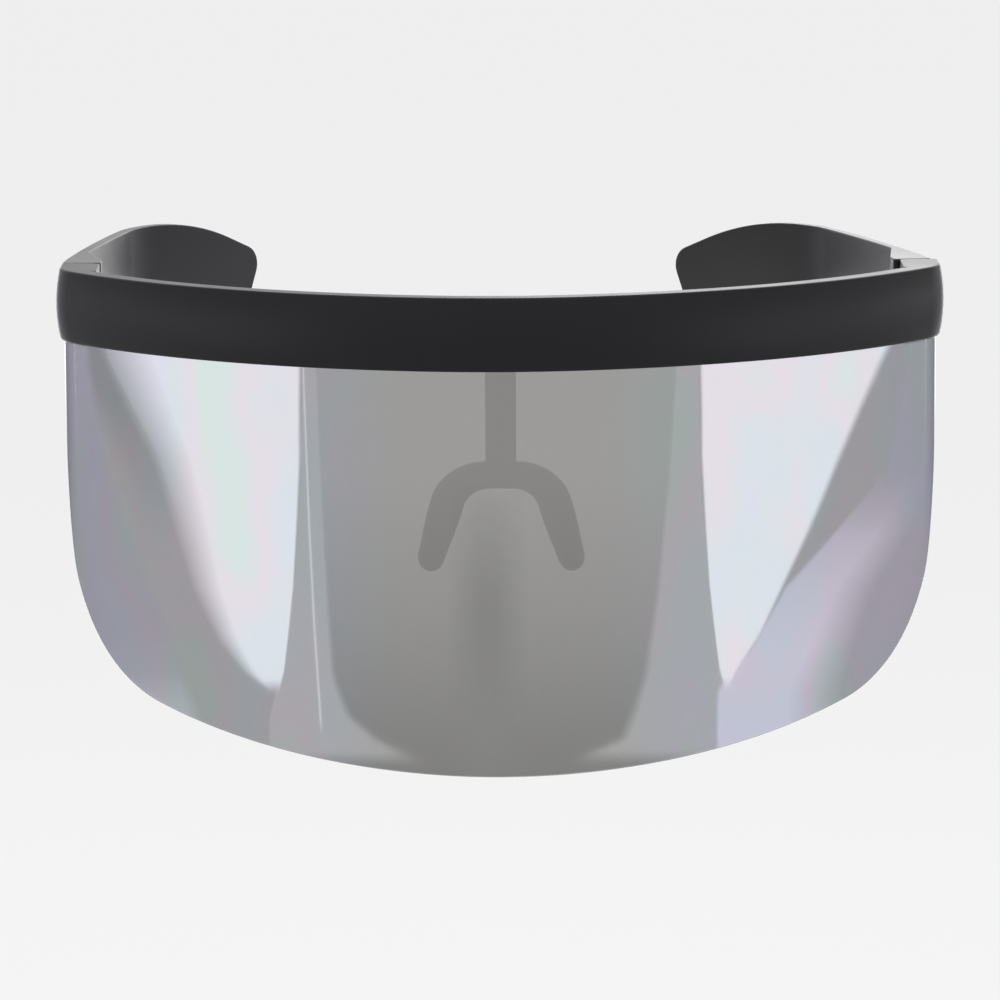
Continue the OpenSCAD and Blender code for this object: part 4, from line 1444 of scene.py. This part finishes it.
@dataclass(frozen=True)
class SoftboxCard:
    """A glowing card on an upright cylinder round the sunglasses, seen only where it is mirrored.

    Args:
        name: its name.
        glow: its brightness, where 1 is white: one value, or one for each row.
        heights: heights of its rows, from the top.
        near, far: azimuths of its two edges in degrees from the camera's side, one or one for each row.
        colour: linear colour of its glow.
        soft: shares of its width over which its near and far edges fade out.
        ends: shares of its height over which its top and bottom fade out.
        radius, axis_y: radius of the cylinder and where its axis stands.
        rows, columns: points of its grid.
    """

    name: str
    glow: float | tuple[float, ...]
    heights: tuple[float, ...]
    near: float | tuple[float, ...]
    far: float | tuple[float, ...]
    colour: tuple[float, float, float] = (1.0, 1.0, 1.0)
    soft: tuple[float, float] = (0.02, 0.02)
    ends: tuple[float, float] = (0.02, 0.02)
    radius: float = 0.6
    axis_y: float = 0.02
    rows: int = 40
    columns: int = 24

    def material(self, name: str) -> bpy.types.Material:
        """Glow that fades out to clear over the soft shares of the width and the height."""
        bench = Bench(bpy.data.materials.new(name))
        across, down, glow = (bench.signal("ShaderNodeAttribute", "Fac", {"attribute_name": label})
                              for label in ("width_share", "height_share", "glow"))
        level = across.between(0, self.soft[0]) * (1 - across).between(0, self.soft[1])
        shown = level * down.between(0, self.ends[0]) * (1 - down).between(0, self.ends[1])
        top = float(np.max(self.glow))
        colour = bench.blend(glow * (1 / top), (0, 0, 0), tuple(top * part for part in self.colour))
        lit = bench.signal("ShaderNodeEmission", 0, None, {"Color": colour, "Strength": 1.0})
        clear = bench.signal("ShaderNodeBsdfTransparent", 0)
        return bench.finish(bench.signal("ShaderNodeMixShader", 0, None, {0: shown, 1: clear, 2: lit}))

    def build(self, side: Side) -> None:
        """Makes the card: axis + radius (sin a, -cos a), with a between its two edges on every row."""
        steps = np.arange(len(self.heights))
        at = np.linspace(0, len(self.heights) - 1, self.rows)
        height, near, far, glow = (np.interp(at, steps, np.broadcast_to(values, len(steps)))
                                   for values in (self.heights, self.near, self.far, self.glow))
        share = np.linspace(0, 1, self.columns)[None, :]
        angle = np.radians(near[:, None] + (far - near)[:, None] * share) * side.value
        points = np.stack([self.radius * np.sin(angle), self.axis_y - self.radius * np.cos(angle),
                           np.broadcast_to(height[:, None], angle.shape)], axis=-1)
        faces = quads(self.rows, self.columns, closed=False)
        name = f"{self.name}_{side.name.lower()}"
        mesh = Solid(points.reshape(-1, 3), faces.ravel(), np.full(len(faces), 4)).mesh(name)
        down = (height[0] - height) / (height[0] - height[-1])
        shares = {"width_share": share, "height_share": down[:, None], "glow": glow[:, None]}
        for label, values in shares.items():
            spread = mesh.attributes.new(label, "FLOAT", "POINT")
            spread.data.foreach_set("value", np.broadcast_to(values, angle.shape).ravel().astype(np.float32))
        mesh.materials.append(self.material(name))
        card = put(name, mesh)
        for kind in ("camera", "diffuse", "transmission", "volume_scatter", "shadow"):
            setattr(card, "visible_" + kind, False)
        card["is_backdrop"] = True


@dataclass(frozen=True)
class Studio:
    """The floor, the pale surroundings, the lamps, the cards and the camera.

    Args:
        paper, ambient: strength of the surroundings where they are seen and as light.
        floor_glow, floor_share: glow of the floor where it is seen, and its share in what shows.
        floor_drop: how far the floor lies below the sunglasses.
        cool: colour of the cards at the cheeks.
        lamps: name, place, size and power in watts of each lamp.
        focal_px, image_px: focal length and width of the picture in pixels.
        sensor: width of the sensor in millimetres.
        target: what the camera and the lamps point at.
    """

    paper: float = 0.89
    ambient: float = 0.55
    floor_glow: float = 0.95
    floor_share: float = 0.8
    floor_drop: float = 0.25
    floor_size: float = 12.0
    cool: tuple[float, float, float] = (1.0, 0.97, 1.09)
    lamps: tuple[tuple[str, tuple[float, float, float], float, float], ...] = (
        ("key", (0.5, -0.9, 1.1), 0.9, 6.0), ("fill", (-0.8, -0.7, 0.7), 0.9, 3.5),
        ("back", (0.0, 0.9, 0.9), 0.8, 4.0))
    camera_distance: float = 1.3
    camera_elevation: float = 9.0
    camera_roll: float = -0.3
    focal_px: float = 6724.0
    image_px: float = 1000.0
    sensor: float = 36.0
    clip: tuple[float, float] = (0.01, 100.0)
    target: tuple[float, float, float] = (-0.2 * MM, 23.145 * MM, -6.251 * MM)

    def seen(self, bench: Bench) -> Signal:
        """1 for what is seen straight, in a reflection or through glass, and 0 for what lights the scene."""
        path = bench.node("ShaderNodeLightPath")
        seen = [Signal(bench, path.outputs[name]) for name in
                ("Is Camera Ray", "Is Glossy Ray", "Is Transmission Ray")]
        return (seen[0] + seen[1] + seen[2]).between(0, 1)

    def surroundings(self) -> None:
        """The world: plain soft light, which shows as pale paper."""
        bench = Bench(bpy.data.worlds.new("pale_studio"))
        strength = self.ambient + (self.paper - self.ambient) * self.seen(bench)
        light = bench.signal("ShaderNodeBackground", 0, None, {"Color": (1, 1, 1, 1), "Strength": strength})
        bpy.context.scene.world = bench.finish(light)

    def floor(self) -> None:
        """A wide pale floor that keeps the shadow: mostly its own pale colour where it is seen."""
        edge = self.floor_size / 2 * np.array([(-1, -1, 0), (1, -1, 0), (1, 1, 0), (-1, 1, 0)], float)
        edge[:, 2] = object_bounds()[0].z - self.floor_drop
        bench = Bench(bpy.data.materials.new("pale_floor"))
        lit = bench.signal("ShaderNodeBsdfDiffuse", 0, None, {"Color": (self.paper,) * 3 + (1,)})
        glow = bench.signal("ShaderNodeEmission", 0, None, {"Color": (1,) * 4, "Strength": self.floor_glow})
        shown = self.floor_share * self.seen(bench)
        mesh = Solid(edge, np.arange(4), np.array([4])).mesh("floor")
        mesh.materials.append(bench.finish(
            bench.signal("ShaderNodeMixShader", 0, None, {0: shown, 1: lit, 2: glow})))
        put("floor", mesh)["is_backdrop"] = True

    def lamp(self, name: str, spot: tuple[float, float, float], size: float, power: float) -> None:
        """A square area lamp that faces the sunglasses and isn't mirrored in them."""
        data = bpy.data.lights.new(name, "AREA")
        data.shape, data.size, data.energy = "SQUARE", size, power
        lamp = put(name, data)
        lamp.location = spot
        lamp.rotation_euler = (Vector(self.target) - Vector(spot)).to_track_quat("-Z", "Y").to_euler()
        lamp.visible_glossy = False

    def cards(self) -> None:
        """The cards that the lens and the edges mirror.

        Two tall softboxes taper down, with pale strips beside them. A broad card in the middle falls off
        downwards, low glows stand at the cheeks, and glows behind light the temples' tops and insides.
        """
        tall = (0.030, -0.020, -0.050, -0.063, -0.077, -0.094, -0.112, -0.126, -0.135, -0.141)
        inner = (48.5, 48.5, 48.6, 48.9, 49.0, 49.8, 50.8, 52.2, 53.2, 54.6)
        for side, outer, fade in (
                (Side.RIGHT, (130.0, 112.0, 98.5, 92.0, 85.0, 80.0, 75.0, 69.0, 63.0, 56.5), 0.30),
                (Side.LEFT, (130.0, 112.0, 95.0, 88.9, 82.9, 76.2, 68.5, 62.6, 57.4, 55.0), 0.05)):
            SoftboxCard("softbox", 2.5, tall, inner, outer, soft=(0.02, fade), radius=0.595).build(side)
        down = (0.030, -0.054, -0.084, -0.115, -0.138, -0.149, -0.156, -0.163)
        outer = (48.5, 48.6, 49.2, 51.0, 54.5, 57.0, 57.0, 57.0)
        for side, inner in ((Side.RIGHT, (45.3, 45.3, 44.4, 43.1, 41.7, 38.1, 31.7, 20.0)),
                            (Side.LEFT, (43.4, 43.4, 41.6, 39.0, 36.0, 33.0, 30.7, 17.2))):
            SoftboxCard("strip", 1.1, down, inner, outer, soft=(0.1, 0.02)).build(side)
        SoftboxCard("slim", 1.7, (0.030, -0.053, -0.094, -0.122, -0.152), (48.2, 48.0, 47.0, 46.0, 44.6),
                    (48.7, 48.6, 47.7, 46.8, 45.4), soft=(0.3, 0.3), radius=0.59).build(Side.RIGHT)
        SoftboxCard("centre", (0.78, 0.80, 0.92, 0.92, 0.75, 0.51, 0.40, 0.40),
                    (0.060, -0.010, -0.050, -0.085, -0.125, -0.160, -0.190, -0.260), -57.0, 57.0,
                    soft=(0.1, 0.1), ends=(0.1, 0.1), radius=0.62).build(Side.LEFT)
        SoftboxCard("centre_shade", 0.55, (-0.085, -0.175), -16.0, 8.0, soft=(0.4, 0.4), ends=(0.4, 0.3),
                    radius=0.61).build(Side.LEFT)
        SoftboxCard("dark_band", 0.62, (0.030, -0.050, -0.075, -0.100), (112.0, 97.0, 84.0, 76.0),
                    (126.0, 111.0, 98.0, 90.0), soft=(0.02, 0.5), ends=(0.05, 0.3),
                    radius=0.605).build(Side.RIGHT)
        SoftboxCard("cheek_glow", (0.88, 0.88, 0.85, 0.85, 0.85, 0.92, 1.45, 1.50),
                    (0.030, -0.050, -0.072, -0.100, -0.124, -0.136, -0.148, -0.180),
                    (106.0, 102.0, 99.1, 89.6, 79.9, 76.4, 73.1, 66.0), 158.0,
                    self.cool, (0.04, 0.20), (0.02, 0.25)).build(Side.RIGHT)
        SoftboxCard("cheek_glow", 0.90,
                    (0.030, -0.050, -0.081, -0.095, -0.113, -0.130, -0.138, -0.142, -0.180),
                    (106.0, 101.0, 94.8, 83.2, 68.5, 60.4, 54.6, 52.3, 52.3), 158.0,
                    self.cool, (0.03, 0.20), (0.02, 0.25)).build(Side.LEFT)
        SoftboxCard("cheek_shine", (1.10, 1.30, 1.60, 1.75, 1.75, 1.75, 1.75),
                    (-0.081, -0.095, -0.113, -0.130, -0.138, -0.142, -0.200),
                    (94.8, 83.2, 68.5, 60.4, 54.6, 52.3, 52.3), (112.0, 104.0, 92.0, 86.0, 84.0, 83.0, 80.0),
                    self.cool, (0.03, 0.45), (0.15, 0.25), radius=0.598).build(Side.LEFT)
        for side, above, beside in ((Side.RIGHT, 1.4, 5.6), (Side.LEFT, 3.2, 6.8)):
            SoftboxCard("back_glow", above, (0.600, 0.020), (140.0, 152.0), 180.0,
                        soft=(0.3, 0.001)).build(side)
            SoftboxCard("rear_glow", beside, (0.020, -0.250), (96.0, 132.0), 180.0, soft=(0.8, 0.001),
                        ends=(0.02, 0.2), radius=0.63).build(side)

    def camera(self) -> None:
        """The camera at the photograph's angle, distance and field of view."""
        data = bpy.data.cameras.new("camera")
        data.sensor_width, data.lens = self.sensor, self.focal_px / self.image_px * self.sensor
        data.clip_start, data.clip_end = self.clip
        camera = put("camera", data)
        tilt = math.radians(self.camera_elevation)
        back = Vector((0, -math.cos(tilt), math.sin(tilt)))
        camera.location = Vector(self.target) + self.camera_distance * back
        turn = (-back).to_track_quat("-Z", "Y").to_matrix().to_4x4()
        camera.rotation_euler = (turn @ Matrix.Rotation(math.radians(self.camera_roll), 4, "Z")).to_euler()
        bpy.context.scene.camera = camera

    def build(self) -> None:
        """Makes the studio."""
        self.camera()
        self.surroundings()
        self.floor()
        for lamp in self.lamps:
            self.lamp(*lamp)
        self.cards()
        bpy.context.scene.view_settings.view_transform = "Standard"


def corners(bounds: tuple[Vector, Vector]) -> list[list[float]]:
    """Two corners as plain lists."""
    return [list(corner) for corner in bounds]


def main() -> None:
    """Builds the sunglasses round the frame, and the studio round them."""
    logging.basicConfig(level=logging.INFO, format="%(name)s: %(message)s")
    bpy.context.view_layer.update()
    finishes = Finishes()
    bar = BrowBar()
    bar.build(finishes)
    ShieldLens(bar).build(finishes)
    NosePiece().build(finishes)
    Temple(Side.LEFT, rest_fold=9.0, bar=bar).build(finishes)
    Temple(Side.RIGHT, rest_fold=0.0, bar=bar).build(finishes)
    Fixings().build(finishes)
    Studio().build()


if __name__ == "__main__":
    main()
